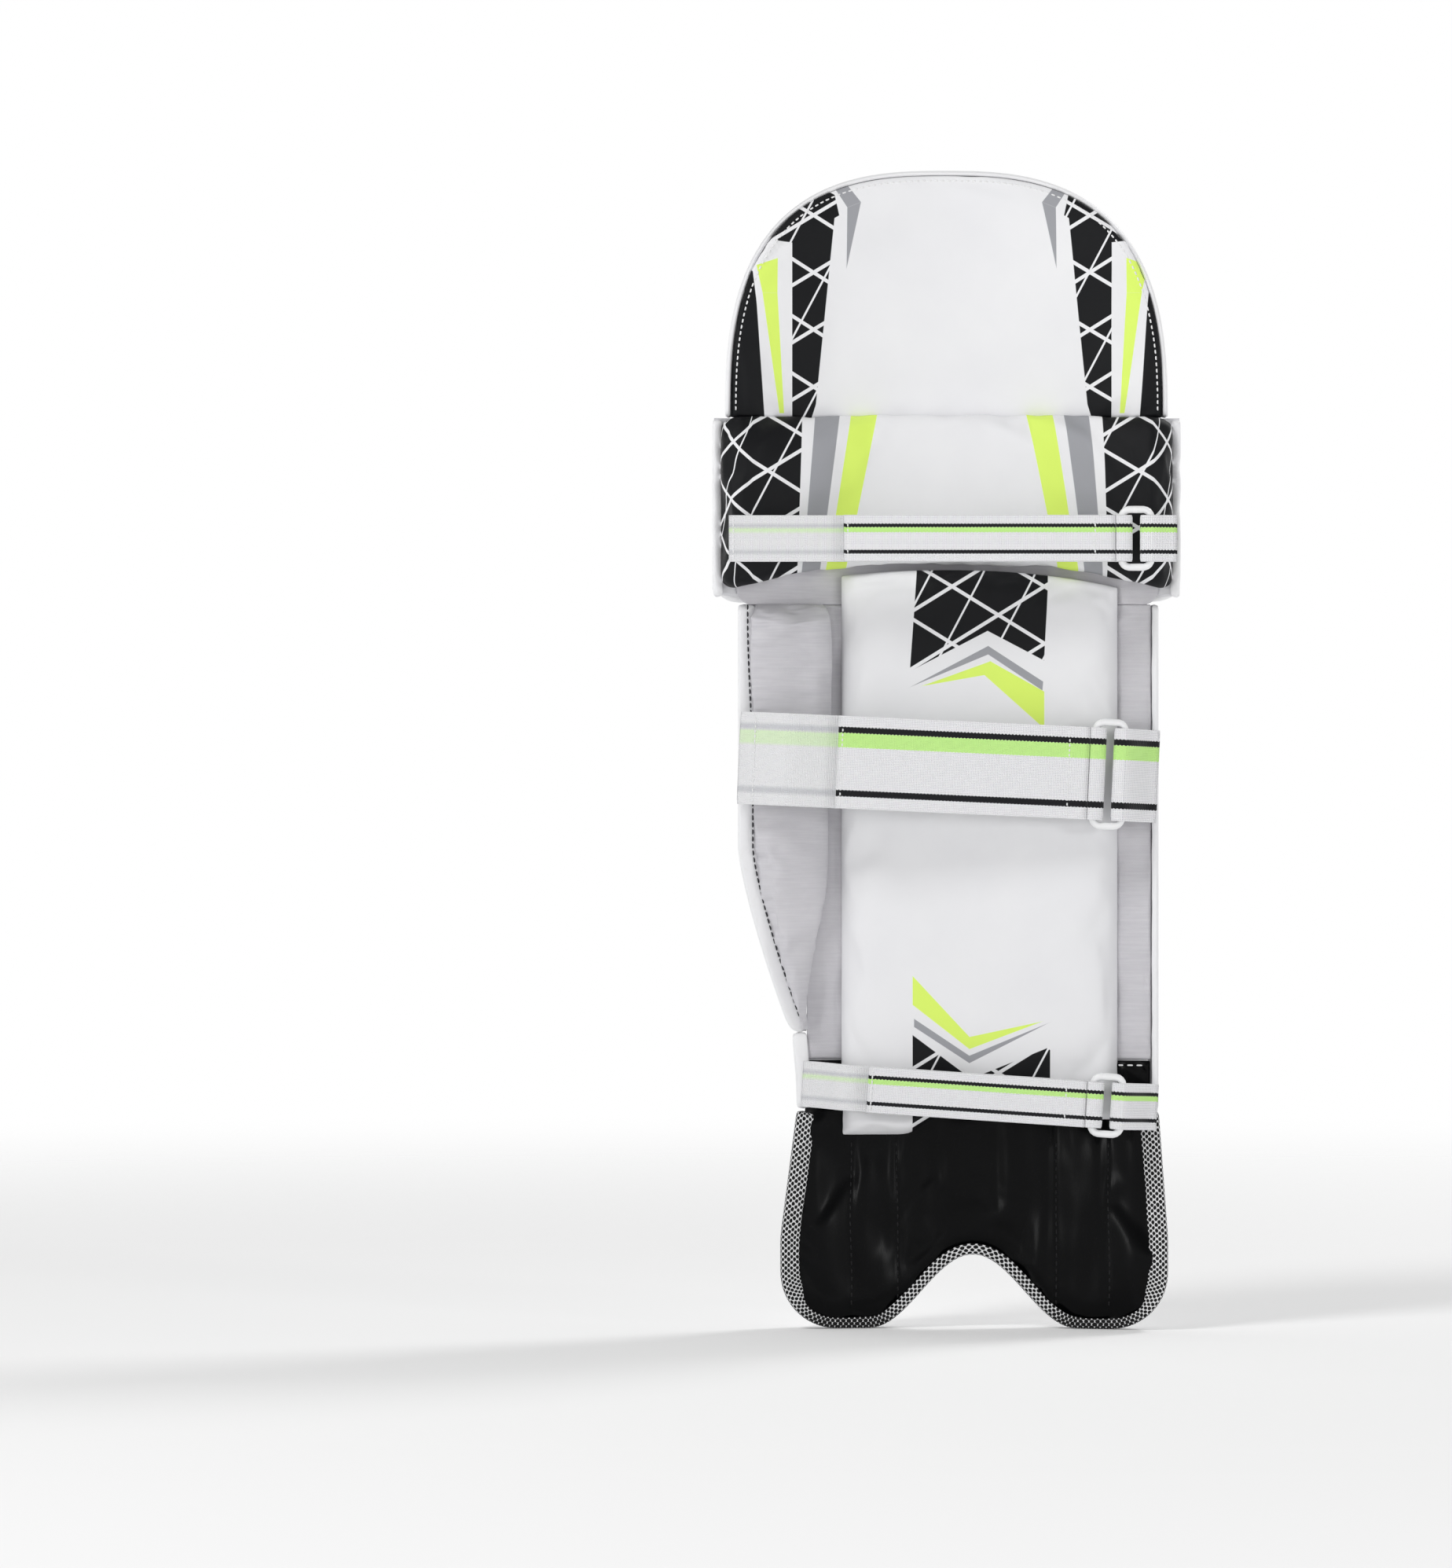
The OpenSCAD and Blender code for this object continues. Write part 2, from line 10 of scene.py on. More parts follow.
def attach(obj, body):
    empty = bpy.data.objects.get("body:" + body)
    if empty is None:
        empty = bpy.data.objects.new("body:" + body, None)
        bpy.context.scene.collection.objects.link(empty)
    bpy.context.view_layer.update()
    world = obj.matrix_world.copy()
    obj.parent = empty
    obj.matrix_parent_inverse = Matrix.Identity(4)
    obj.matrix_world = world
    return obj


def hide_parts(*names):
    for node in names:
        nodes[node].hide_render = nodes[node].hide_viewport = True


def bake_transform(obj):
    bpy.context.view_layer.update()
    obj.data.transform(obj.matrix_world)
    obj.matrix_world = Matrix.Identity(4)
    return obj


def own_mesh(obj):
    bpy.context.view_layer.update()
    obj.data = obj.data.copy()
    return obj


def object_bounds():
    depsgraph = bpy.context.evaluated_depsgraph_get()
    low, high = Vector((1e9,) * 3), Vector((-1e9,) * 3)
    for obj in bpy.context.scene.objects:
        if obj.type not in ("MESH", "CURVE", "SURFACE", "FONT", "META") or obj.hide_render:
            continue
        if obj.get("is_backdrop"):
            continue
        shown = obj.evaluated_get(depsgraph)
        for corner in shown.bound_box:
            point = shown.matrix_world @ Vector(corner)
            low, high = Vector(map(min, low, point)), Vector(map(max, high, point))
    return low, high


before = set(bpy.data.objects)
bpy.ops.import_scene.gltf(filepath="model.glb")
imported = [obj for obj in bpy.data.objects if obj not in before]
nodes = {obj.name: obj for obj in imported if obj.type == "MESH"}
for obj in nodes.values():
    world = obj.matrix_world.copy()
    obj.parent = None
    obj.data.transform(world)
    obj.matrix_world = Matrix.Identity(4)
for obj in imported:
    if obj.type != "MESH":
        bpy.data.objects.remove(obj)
scene = bpy.context.scene
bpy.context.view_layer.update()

# Shin channels: seven padded ridges of white faux leather, each stuffed round a cane rod and sewn to the
# backing foam along both sides. The middle three stop at the instep panel.
MM = 0.001
WRAP_R = 320.0
SHIN_TOP = 394.0
INSTEP_TOP = 119.0
FOOT_X = -12.0
FOOT_HALF = 105.0
LOBE_R = 31.0
LOBE_TOP = 50.0
NOTCH_HALF = 56.0
NOTCH_RISE = 40.0
CHANNEL_LEFT = -106.0
CHANNEL_PITCH = 184 / 7
CHANNEL_RISE = 11.4
CHANNEL_END = 13
MIDDLE_CHANNELS = range(3, 6)
CORNER_IN = 17.5
OUTER_CANE_END = 46.0
MIDDLE_CANE_END = 150.0
CANE_RISE = 2.1
LIP_Z = 363
LIP_BULGE = 8.4
LIP_GROOVE = 4.4


def arc_y(x, r):
    """Depth of the wrapped face of radius r at a place x across the leg, in mm."""
    return WRAP_R - math.sqrt(r * r - x * x)


def on_wall(x, z, h):
    """The point h mm in front of the backing foam's front face, or behind it where h is below zero."""
    return Vector((x, arc_y(x, WRAP_R + h), z)) * MM


def mix(a, b, t):
    return a + (b - a) * t


def ramp(value, start, end):
    """Smooth step from 0 at start to 1 at end."""
    t = min(max((value - start) / (end - start), 0.0), 1.0)
    return t * t * (3 - 2 * t)


def crown(s, power, sharp=0.5):
    """Height of a stuffed section at s from -1 to 1: 1 in the middle and 0 at both sewn edges."""
    return max(0.0, 1 - abs(s) ** power) ** sharp


def dome_end(gap, reach):
    """Rise of a stuffed form from its sewn end, gap mm away, to full height at reach mm."""
    t = 1 - min(max(gap / reach, 0.0), 1.0)
    return math.sqrt(1 - t * t)


def corner_gap(side, end, turn):
    """How far a point lies inside a panel whose corner is rounded to turn mm. side and end are its distances
    from the two edges that meet there, in mm."""
    if side < turn and end < turn:
        return turn - math.hypot(turn - side, turn - end)
    return min(side, end)


def uneven(x, z, size, seed=0.0):
    """Soft unevenness from -1 to 1, over waves of about size mm."""
    return noise.noise(Vector((x / size, z / size, seed)))


def along(points):
    """Walks a chain of points at an even pace, from 0 at its start to 1 at its end."""
    reach = [0.0]
    for a, b in zip(points, points[1:]):
        reach.append(reach[-1] + math.dist(a, b))

    def walk(t):
        want = min(max(t, 0.0), 1.0) * reach[-1]
        i = min(bisect.bisect_right(reach, want), len(points) - 1) - 1
        share = (want - reach[i]) / (reach[i + 1] - reach[i])
        return [mix(p, q, share) for p, q in zip(points[i], points[i + 1])]

    return walk


def patch(left, right, bottom, top):
    """Fills four edges, each a chain of (x, z) points, and gives x and z for u across and v up."""
    left, right, bottom, top = [along(edge) for edge in (left, right, bottom, top)]

    def spot(u, v):
        sides = zip(left(v), right(v), bottom(u), top(u), left(0), right(0), left(1), right(1))
        return [
            mix(a, b, u) + mix(c, d, v) - mix(mix(p, q, u), mix(r, s, u), v)
            for a, b, c, d, p, q, r, s in sides
        ]

    return spot


def eased(count):
    """Steps from 0 to 1 that lie closer together at both ends."""
    return [mix(i / count, (1 - math.cos(math.pi * i / count)) / 2, 0.6) for i in range(count + 1)]


def link_mesh(name, points, faces):
    mesh = bpy.data.meshes.new(name)
    mesh.from_pydata(points, [], faces)
    shaped = bmesh.new()
    shaped.from_mesh(mesh)
    bmesh.ops.recalc_face_normals(shaped, faces=shaped.faces)
    shaped.to_mesh(mesh)
    shaped.free()
    mesh.shade_smooth()
    obj = bpy.data.objects.new(name, mesh)
    scene.collection.objects.link(obj)
    return obj


def cushion(name, us, vs, face, back, tucks=()):
    """A closed form between the grids face(u, v) and back(u, v). Its back, its rim and the columns of the
    face that are named in tucks are marked as sewn."""
    rows = len(vs)
    count = len(us) * rows
    points = [side(u, v) for side in (face, back) for u in us for v in vs]
    faces = []
    for i in range(len(us) - 1):
        for j in range(rows - 1):
            a = i * rows + j
            b = a + rows
            faces.append((a, b, b + 1, a + 1))
            faces.append((a + count, a + 1 + count, b + 1 + count, b + count))
    rim = [i * rows for i in range(len(us))]
    rim += [(len(us) - 1) * rows + j for j in range(1, rows)]
    rim += [i * rows + rows - 1 for i in range(len(us) - 2, -1, -1)]
    rim += list(range(rows - 2, 0, -1))
    for a, b in zip(rim, rim[1:] + rim[:1]):
        faces.append((a, b, b + count, a + count))
    obj = link_mesh(name, points, faces)
    sewn = obj.vertex_groups.new(name="sewn")
    sewn.add(rim + list(range(count, 2 * count)), 1.0, "REPLACE")
    for i in tucks:
        sewn.add([i * rows + j for j in range(rows)], 1.0, "REPLACE")
    return obj


def stuff(obj, pressure, limit, slack=0.02):
    """Blows a cushion up as sewn cloth, lets no point move more than limit mm, and refines the mesh."""
    cloth = obj.modifiers.new("stuffing", "CLOTH")
    cloth.settings.quality = 4
    cloth.settings.mass = 0.2
    cloth.settings.tension_stiffness = 12
    cloth.settings.compression_stiffness = 12
    cloth.settings.bending_stiffness = 0.4
    cloth.settings.vertex_group_mass = "sewn"
    cloth.settings.shrink_min = -slack
    cloth.settings.use_pressure = True
    cloth.settings.uniform_pressure_force = pressure
    cloth.settings.effector_weights.gravity = 0
    cloth.collision_settings.use_collision = False
    for step in range(1, 13):
        scene.frame_set(step)
    filled = obj.evaluated_get(bpy.context.evaluated_depsgraph_get()).to_mesh()
    moves = [b.co - a.co for a, b in zip(obj.data.vertices, filled.vertices)]
    obj.modifiers.remove(cloth)
    scene.frame_set(1)
    for vertex, move in zip(obj.data.vertices, moves):
        vertex.co += move * min(1.0, limit * MM / max(move.length, 1e-9))
    refine(obj, 1)


def refine(obj, levels):
    """Applies a subdivision surface."""
    smooth = obj.modifiers.new("refine", "SUBSURF")
    smooth.levels = levels
    refined = bpy.data.meshes.new_from_object(obj.evaluated_get(bpy.context.evaluated_depsgraph_get()))
    obj.modifiers.clear()
    obj.vertex_groups.clear()
    obj.data = refined
    refined.shade_smooth()


def linear(code):
    """Linear colour, with alpha, of an sRGB hex code."""
    parts = [int(code[i : i + 2], 16) / 255 for i in (0, 2, 4)]
    return [p / 12.92 if p <= 0.04045 else ((p + 0.055) / 1.055) ** 2.4 for p in parts] + [1.0]


def add(tree, kind, inputs, **settings):
    """Adds a node and gives its outputs. An input that is another node's output is linked."""
    node = tree.nodes.new(kind)
    for key, value in settings.items():
        setattr(node, key, value)
    for key, value in inputs.items():
        if isinstance(value, bpy.types.NodeSocket):
            tree.links.new(value, node.inputs[key])
        else:
            node.inputs[key].default_value = value
    return node.outputs


def material(name, surface):
    """A material whose Principled shader takes the inputs that surface(tree) gives."""
    made = bpy.data.materials.new(name)
    made.use_nodes = True
    made.node_tree.nodes.clear()
    shader = add(made.node_tree, "ShaderNodeBsdfPrincipled", surface(made.node_tree))
    add(made.node_tree, "ShaderNodeOutputMaterial", {"Surface": shader["BSDF"]})
    return made


def faux_leather(tree):
    """White PU coating, embossed: a faint pebble grain about 1.1 mm across, soft marks and a low sheen."""
    spot = add(tree, "ShaderNodeTexCoord", {})["Object"]
    clouds = add(tree, "ShaderNodeTexNoise", {"Vector": spot, "Scale": 16.0, "Detail": 5.0})["Fac"]
    grain = {"Vector": spot, "Scale": 900.0}
    pebble = add(tree, "ShaderNodeTexVoronoi", grain, feature="SMOOTH_F1")["Distance"]
    marks = add(
        tree,
        "ShaderNodeTexNoise",
        {"Vector": spot, "Scale": 70.0, "Detail": 3.0, "Distortion": 1.2},
    )["Fac"]
    smear = add(tree, "ShaderNodeMapRange", {"Value": marks, "From Min": 0.62, "From Max": 0.85})["Result"]
    tone = add(
        tree,
        "ShaderNodeMix",
        {0: clouds, 6: linear("E9E9EC"), 7: linear("F5F5F5")},
        data_type="RGBA",
    )[2]
    dirt = add(tree, "ShaderNodeMath", {0: smear, 1: 0.35}, operation="MULTIPLY")[0]
    colour = add(tree, "ShaderNodeMix", {0: dirt, 6: tone, 7: linear("DBDAD8")}, data_type="RGBA")[2]
    gloss = add(tree, "ShaderNodeMapRange", {"Value": clouds, "To Min": 0.36, "To Max": 0.52})["Result"]
    fine = add(tree, "ShaderNodeBump", {"Strength": 0.22, "Distance": 0.0003, "Height": pebble})["Normal"]
    return {"Base Color": colour, "Roughness": gloss, "Normal": fine, "Specular IOR Level": 0.45}


def dress(obj, body, slot, finish, *replaced):
    """Puts a finish on a piece, hides the CAD nodes it stands for and ties it to its body. Its slot is not
    used.
    """
    obj.data.materials.clear()
    obj.data.materials.append(finish)
    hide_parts(*replaced)
    if body:
        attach(obj, body)
    return obj


def foot_edge(inset):
    """Lower outline of the foot from the far side round to the wing side, inset mm inside its edge."""
    turn = LOBE_R - inset

    def lobe(middle, start):
        angles = [math.pi * (start + i / 32) for i in range(17)]
        return [(middle + turn * math.cos(a), LOBE_R + turn * math.sin(a)) for a in angles]

    notch = []
    for i in range(41):
        dx = NOTCH_HALF * (i / 20 - 1)
        slope = NOTCH_RISE * math.pi / (2 * NOTCH_HALF) * math.sin(math.pi * dx / NOTCH_HALF)
        lift = inset * math.sqrt(1 + slope * slope)
        notch.append((FOOT_X + dx, NOTCH_RISE / 2 * (1 + math.cos(math.pi * dx / NOTCH_HALF)) + lift))
    far_side = [(FOOT_X - FOOT_HALF + inset, LOBE_TOP), *lobe(FOOT_X - FOOT_HALF + LOBE_R, 1)]
    wing_side = [*lobe(FOOT_X + FOOT_HALF - LOBE_R, 1.5), (FOOT_X + FOOT_HALF - inset, LOBE_TOP)]
    return far_side + notch + wing_side


def cut_chain(chain, start, end):
    """The stretch of a chain of points between two places across the leg."""
    inner = [p for p in chain if start < p[0] < end]

    def place(x):
        i = next(i for i in range(len(chain) - 1) if chain[i][0] <= x <= chain[i + 1][0])
        (a, b), (c, d) = chain[i], chain[i + 1]
        return (x, mix(b, d, (x - a) / max(c - a, 1e-6)))

    return [place(start), *inner, place(end)]


foot_inner = foot_edge(6.3)
PU = material("faux_leather", faux_leather)


def thread(shade, deep):
    """Twisted polyester sewing thread, with a deeper shade between its strands."""

    def twisted(tree):
        spot = add(tree, "ShaderNodeTexCoord", {})["Object"]
        fuzz = add(tree, "ShaderNodeTexNoise", {"Vector": spot, "Scale": 1800.0, "Detail": 2.0})["Fac"]
        tone = add(tree, "ShaderNodeMapRange", {"Value": fuzz, "To Min": 0.75, "To Max": 1.0})["Result"]
        colour = add(tree, "ShaderNodeMix", {0: tone, 6: linear(deep), 7: linear(shade)}, data_type="RGBA")[2]
        return {"Base Color": colour, "Roughness": 0.6, "Specular IOR Level": 0.3}

    return twisted


WHITE_THREAD = material("white_thread", thread("F6F6F6", "B4B4B8"))
GREY_THREAD = material("grey_thread", thread("A2A2A8", "6A6A6E"))
DARK_THREAD = material("dark_thread", thread("2C2C31", "161619"))
BLACK_THREAD = material("black_thread", thread("121214", "070708"))


def outward(spot, facing):
    """The direction out of the wall at a point: to its front where facing is 1, to its back at -1."""
    return Vector((spot[0], spot[1] - WRAP_R * MM, 0)).normalized() * facing


def landed(obj, places, facing, lift):
    """The points of a piece's skin over a chain of (x, z) places, lift mm above it."""
    skin = BVHTree.FromPolygons([v.co for v in obj.data.vertices], [p.vertices for p in obj.data.polygons])
    spots = []
    for x, z in places:
        way = Vector((0, facing, 0))
        hit = skin.ray_cast(on_wall(x, z, 0) - way * 0.1, way, 0.1)[0]
        if hit:
            spots.append(hit + outward(hit, facing) * lift * MM)
    return spots


def tube_faces(first, rings, count):
    """The faces between rings of count points each, which follow one another from the point first on."""
    faces = []
    for k in range(rings - 1):
        for j in range(count):
            a = first + k * count + j
            b = first + k * count + (j + 1) % count
            faces.append((a, b, b + count, a + count))
    return faces


def closed_tube(first, rings, count):
    """The same faces, and one over each end."""
    last = first + rings * count - 1
    ends = [tuple(range(first, first + count)), tuple(range(last, last - count, -1))]
    return tube_faces(first, rings, count) + ends


STITCH_SIDES = 6
STITCH_RINGS = ((0.12, 0.4, 0.5), (0.3, 1.0, 0.0), (0.7, 1.0, 0.0), (0.88, 0.4, 0.5))


def stitches(name, path, body, finish, facing=1, pitch=4.2, wide=0.45):
    """A row of stitches along a chain of points in metres, each a short thread that dips in at both ends.
    Each of its rings has a share of the pitch, a share of the width and a depth in mm."""
    walk = along(path)
    length = sum(math.dist(a, b) for a, b in zip(path, path[1:])) / MM
    count = max(1, int(length / pitch))
    points = []
    faces = []
    for k in range(count):
        for share, girth, sink in STITCH_RINGS:
            spot = Vector(walk((k + share) / count))
            run = (Vector(walk((k + 0.9) / count)) - Vector(walk((k + 0.1) / count))).normalized()
            out = outward(spot, facing)
            side = run.cross(out).normalized()
            for j in range(STITCH_SIDES):
                angle = math.tau * j / STITCH_SIDES
                turn = side * math.cos(angle) + out * (math.sin(angle) * 0.8)
                points.append(spot + turn * (wide * girth * MM) - out * (sink * MM))
        faces += closed_tube(k * STITCH_SIDES * len(STITCH_RINGS), len(STITCH_RINGS), STITCH_SIDES)
    return dress(link_mesh(name, points, faces), body, "webbing", finish)


def channel_sides(i):
    """The four edges of channel i, as chains of (x, z) points."""
    left = CHANNEL_LEFT + (i - 1) * CHANNEL_PITCH + 0.3
    right = left + CHANNEL_PITCH - 0.6
    top = SHIN_TOP + 0.2
    upper = [(left, top), (right, top)]
    if i in MIDDLE_CHANNELS:
        lower = [(left, INSTEP_TOP + 0.5), (right, INSTEP_TOP + 0.5)]
        return [lower[0], upper[0]], [lower[1], upper[1]], lower, upper
    if i == 1:
        corner = (FOOT_X - FOOT_HALF + LOBE_R - CORNER_IN, LOBE_R - CORNER_IN)
        outer = [p for p in foot_inner if p[0] < corner[0]]
        left_edge = [corner, *reversed(outer), (left, INSTEP_TOP), (left, top)]
        bottom = [corner, *cut_chain(foot_inner, corner[0] + 1, right)]
        return left_edge, [bottom[-1], upper[1]], bottom, upper
    if i == 7:
        corner = (FOOT_X + FOOT_HALF - LOBE_R + CORNER_IN, LOBE_R - CORNER_IN)
        bottom = [*cut_chain(foot_inner, left, corner[0] - 1), corner]
        outer = [p for p in foot_inner if p[0] > corner[0]]
        right_edge = [corner, *outer, (right, INSTEP_TOP), (right, top)]
        return [bottom[0], upper[0]], right_edge, bottom, upper
    bottom = cut_chain(foot_inner, left, right)
    return [bottom[0], upper[0]], [bottom[-1], upper[1]], bottom, upper


def levels(count, low, high, details):
    """Steps from 0 to 1 up a form, with closer ones near each height in details."""
    heights = [mix(low, high, t) for t in eased(count)]
    for spot in details:
        heights = [z for z in heights if abs(z - spot) > 8.5] + [spot + 1.7 * k for k in range(-4, 5)]
    return [(z - low) / (high - low) for z in sorted(heights)]


def seam_drift(k, z):
    """How far the seam after channel k wanders across the leg, in mm."""
    return 0.9 * uneven(z, 11 * k, 34) * ramp(z, 20, 60) if 0 < k < 7 else 0.0


def shin_channel(i):
    spot = patch(*channel_sides(i))
    cane_end = MIDDLE_CANE_END if i in MIDDLE_CHANNELS else OUTER_CANE_END

    def face(u, v):
        x, z = spot(u, v)
        low = spot(u, 0)[1]
        s = 2 * u - 1
        lip = LIP_Z + 7 * s * s + 3 * uneven(i, 0, 1.7)
        end = dome_end(z - low, CHANNEL_END)
        full = CHANNEL_RISE + 1.6 * ramp(z, cane_end - 4, cane_end + 3) + 0.7 * uneven(x, z, 40, i)
        ridge = CANE_RISE * ramp(z, cane_end - 5, cane_end + 2) * ramp(z, lip + 1, lip - 6)
        h = full * crown(s, 2.7, 0.62) + ridge * (1 - ramp(abs(s + 0.05), 0.3, 0.52))
        h += LIP_BULGE * crown(s, 2.2, 0.7) * ramp(z, lip - 1, lip + 3.2)
        h *= end * dome_end(SHIN_TOP + 0.5 - z, 2.5)
        h -= LIP_GROOVE * crown(s, 2.0) * (1 - ramp(abs(z - lip + 3), 0, 4.4))
        h += 2.4 * crown(s, 2.0) * (1 - ramp(abs(z - cane_end + 11), 0, 10))
        x += mix(seam_drift(i - 1, z), seam_drift(i, z), u) + 0.5 * s * end
        return on_wall(x, z, 0.6 + max(h, 0.0))

    def back(u, v):
        x, z = spot(u, v)
        return on_wall(x, z, 0.2)

    count = 84 if i in MIDDLE_CHANNELS else 104
    steps = levels(count, spot(0.5, 0)[1], spot(0.5, 1)[1], (cane_end, LIP_Z + 3.0))
    obj = cushion(f"shin_channel_{i}", eased(12), steps, face, back)
    stuff(obj, 2.5, 1.2, 0.03)
    return dress(obj, "shin", "pu_face", PU, f"shin_roll_{i}")


for i in range(1, 8):
    shin_channel(i)
for i in range(1, 7):
    seam = CHANNEL_LEFT + i * CHANNEL_PITCH
    low = 30.0 if i in (1, 6) else INSTEP_TOP - 5
    rises = [mix(low, SHIN_TOP - 3, k / 90) for k in range(91)]
    row = [on_wall(seam + seam_drift(i, z), z, 2.4) for z in rises]
    stitches(f"channel_stitch_{i}", row, "shin", GREY_THREAD)

# Instep panel: one plain piece of the same faux leather over thin foam, sewn to the channels round it and
# gathered a little where it is bound over the notch.
INSTEP_RISE = 6.4


def instep_panel():
    left = CHANNEL_LEFT + 2 * CHANNEL_PITCH + 0.4
    right = CHANNEL_LEFT + 5 * CHANNEL_PITCH - 0.4
    bottom = cut_chain(foot_inner, left, right)
    spot = patch(
        [bottom[0], (left, INSTEP_TOP)],
        [bottom[-1], (right, INSTEP_TOP)],
        bottom,
        [(left, INSTEP_TOP), (right, INSTEP_TOP)],
    )

    def face(u, v):
        x, z = spot(u, v)
        gap = z - spot(u, 0)[1]
        h = INSTEP_RISE * crown(2 * u - 1, 7, 0.6) * dome_end(gap, 11) * dome_end(INSTEP_TOP - z, 6)
        gather = math.sin(x * 0.62 + 2.5 * uneven(x, z, 25)) * math.exp(-gap / 11) * ramp(gap, 0, 3)
        return on_wall(x, z, 0.6 + h + 2.0 * gather + 0.6 * uneven(x, z, 30, 9))

    def back(u, v):
        x, z = spot(u, v)
        return on_wall(x, z, 0.2)

    obj = cushion("instep_cover", eased(40), eased(32), face, back)
    stuff(obj, 1.0, 1.6, 0.04)
    return dress(obj, "shin", "pu_face", PU, "instep_panel")


instep = instep_panel()
row = [(mix(-51.0, 24.0, k / 30), INSTEP_TOP - 3.5) for k in range(31)]
stitches("instep_stitch", landed(instep, row, 1, 0.1), "shin", GREY_THREAD)

# Wing face: a smooth panel of white faux leather over thin padding, beside the channels. It is sewn into the
# turned edge of the wing and swings with it.
WING_SEAM = 78.3
WING_LOW = 161.0
WING_FIRST = WING_LOW + 0.6
WING_LAST = SHIN_TOP - 0.3
WING_REACH = 116
WING_TAPER = 28.5
TAPER_TALL = 100
WING_RISE = 9.5


def wing_edge(z):
    """Place across the leg of the wing's outer edge, which tapers towards its foot."""
    narrow = (max(0.0, WING_LOW + TAPER_TALL - z) / TAPER_TALL) ** 1.3
    return WING_REACH - WING_TAPER * narrow


def wing_levels(count):
    return [mix(WING_FIRST, WING_LAST, j / count) for j in range(count + 1)]


def wing_face():
    inner = WING_SEAM + 0.4
    hem = 3.5
    spot = patch(
        [(inner, z) for z in wing_levels(30)],
        [(wing_edge(z) - hem, z) for z in wing_levels(30)],
        [(inner, WING_FIRST), (wing_edge(WING_LOW) - hem, WING_FIRST)],
        [(inner, WING_LAST), (wing_edge(SHIN_TOP) - hem, WING_LAST)],
    )

    def face(u, v):
        x, z = spot(u, v)
        h = WING_RISE * crown(2 * u - 1, 2.6, 0.6) * dome_end(z - WING_LOW, 14) * dome_end(SHIN_TOP - z, 5)
        return on_wall(x, z, -0.8 + h + 0.6 * uneven(x, z, 35, 4))

    def back(u, v):
        x, z = spot(u, v)
        return on_wall(x, z, -1.9)

    obj = cushion("wing_front", eased(12), eased(60), face, back)
    stuff(obj, 2.0, 1.5, 0.03)
    return dress(obj, "wing", "pu_face", PU, "wing_face")


wing_face()

# Knee rolls: three round rolls of white faux leather, stuffed with fibre and sewn to the foam of the knee one
# above the other. The lowest is the fullest, and its lower seam curves up at both ends.
KNEE_X = 3.0
KNEE_HALF = 126.0
KNEE_TOP = 494.0
ROLL_PITCH = 100 / 3
ROLL_REACH = KNEE_HALF + 1.0
ROLL_RISE = 28.6
LOWEST_ROLL = 3


def roll_seam(k, x):
    """How far the seam under knee roll k wanders up and down, in mm."""
    if k == 0:
        return 0.0
    if k < LOWEST_ROLL:
        return 1.8 * uneven(x, 9 * k, 26)
    return 1.2 * uneven(x, 9 * k, 14)


def knee_roll(i):
    level = KNEE_TOP - (i - 0.5) * ROLL_PITCH
    lowest = i == LOWEST_ROLL

    def face(u, v):
        x = KNEE_X + (2 * u - 1) * ROLL_REACH
        gap = KNEE_HALF + 1.6 - abs(x - KNEE_X)
        end = dome_end(gap, 13)
        angle = math.pi * (v - 0.5)
        side = math.copysign(abs(math.sin(angle)) ** 0.82, angle)
        z = level + (16.2 if lowest else 16.5) * side * mix(0.86, 1.0, end)
        z += mix(roll_seam(i, x), roll_seam(i - 1, x), (side + 1) / 2)
        if lowest and side < 0:
            z -= 9 * side * (1 - dome_end(gap, 22))
        full = ROLL_RISE + 1.6 * uneven(x, z, 45, i) + (1.2 if lowest else 0.0)
        h = full * max(math.cos(angle), 0.0) ** 0.5 * mix(0.3, 1.0, end)
        pucker = 0.7 * math.sin(x * 0.42 + 4 * uneven(x, level, 30, i)) * ramp(abs(side), 0.6, 0.93)
        return on_wall(x, z, 0.8 + max(h + pucker * end, 0.0))

    def back(u, v):
        x = KNEE_X + (2 * u - 1) * ROLL_REACH
        return on_wall(x, level + (2 * v - 1) * 10.0, 0.4)

    obj = cushion(f"knee_roll_cover_{i}", eased(72), [j / 16 for j in range(17)], face, back)
    stuff(obj, 2.5, 1.5, 0.03)
    if not lowest:
        return dress(obj, "knee", "pu_face", PU, f"knee_roll_{i}")
    dress(obj, None, "pu_face", PU, "knee_roll_3")
    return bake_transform(obj)


for i in range(1, LOWEST_ROLL + 1):
    knee_roll(i)
for i in range(1, LOWEST_ROLL):
    level = KNEE_TOP - i * ROLL_PITCH
    places = [mix(-117.0, 123.0, k / 80) for k in range(81)]
    row = [on_wall(x, level + roll_seam(i, x), 9.0) for x in places]
    stitches(f"knee_stitch_{i}", row, "knee", GREY_THREAD)

# Top hat front: eight upright panels of white faux leather over padding, side by side. They are sewn to one
# another and into the piping of the dome.
TOP_Z = 494.3
DOME_HALF = 120
DOME_RISE = 135.7
DOME_POWER = 2.7
TOP_PANELS = 8
TOP_PITCH = 29
TOP_GAP = 0.6
TOP_RISE = 9.6


def dome_point(angle, inset):
    """A point of the dome's outline at an angle from its wing side, in degrees, inset mm inside the edge."""
    c = math.cos(math.radians(angle))
    s = math.sin(math.radians(angle))
    wide = math.copysign(abs(c) ** (2 / DOME_POWER), c)
    tall = max(s, 0.0) ** (2 / DOME_POWER)
    return (KNEE_X + (DOME_HALF - inset) * wide, TOP_Z + (DOME_RISE - inset) * tall)


def dome_angle(x, inset):
    """The angle at which the dome's outline stands over a place x across the leg."""
    wide = min(max((x - KNEE_X) / (DOME_HALF - inset), -1.0), 1.0)
    return math.degrees(math.acos(math.copysign(abs(wide) ** (DOME_POWER / 2), wide)))


def dome_stretch(start, end, inset, count=20):
    return [dome_point(mix(start, end, j / count), inset) for j in range(count + 1)]


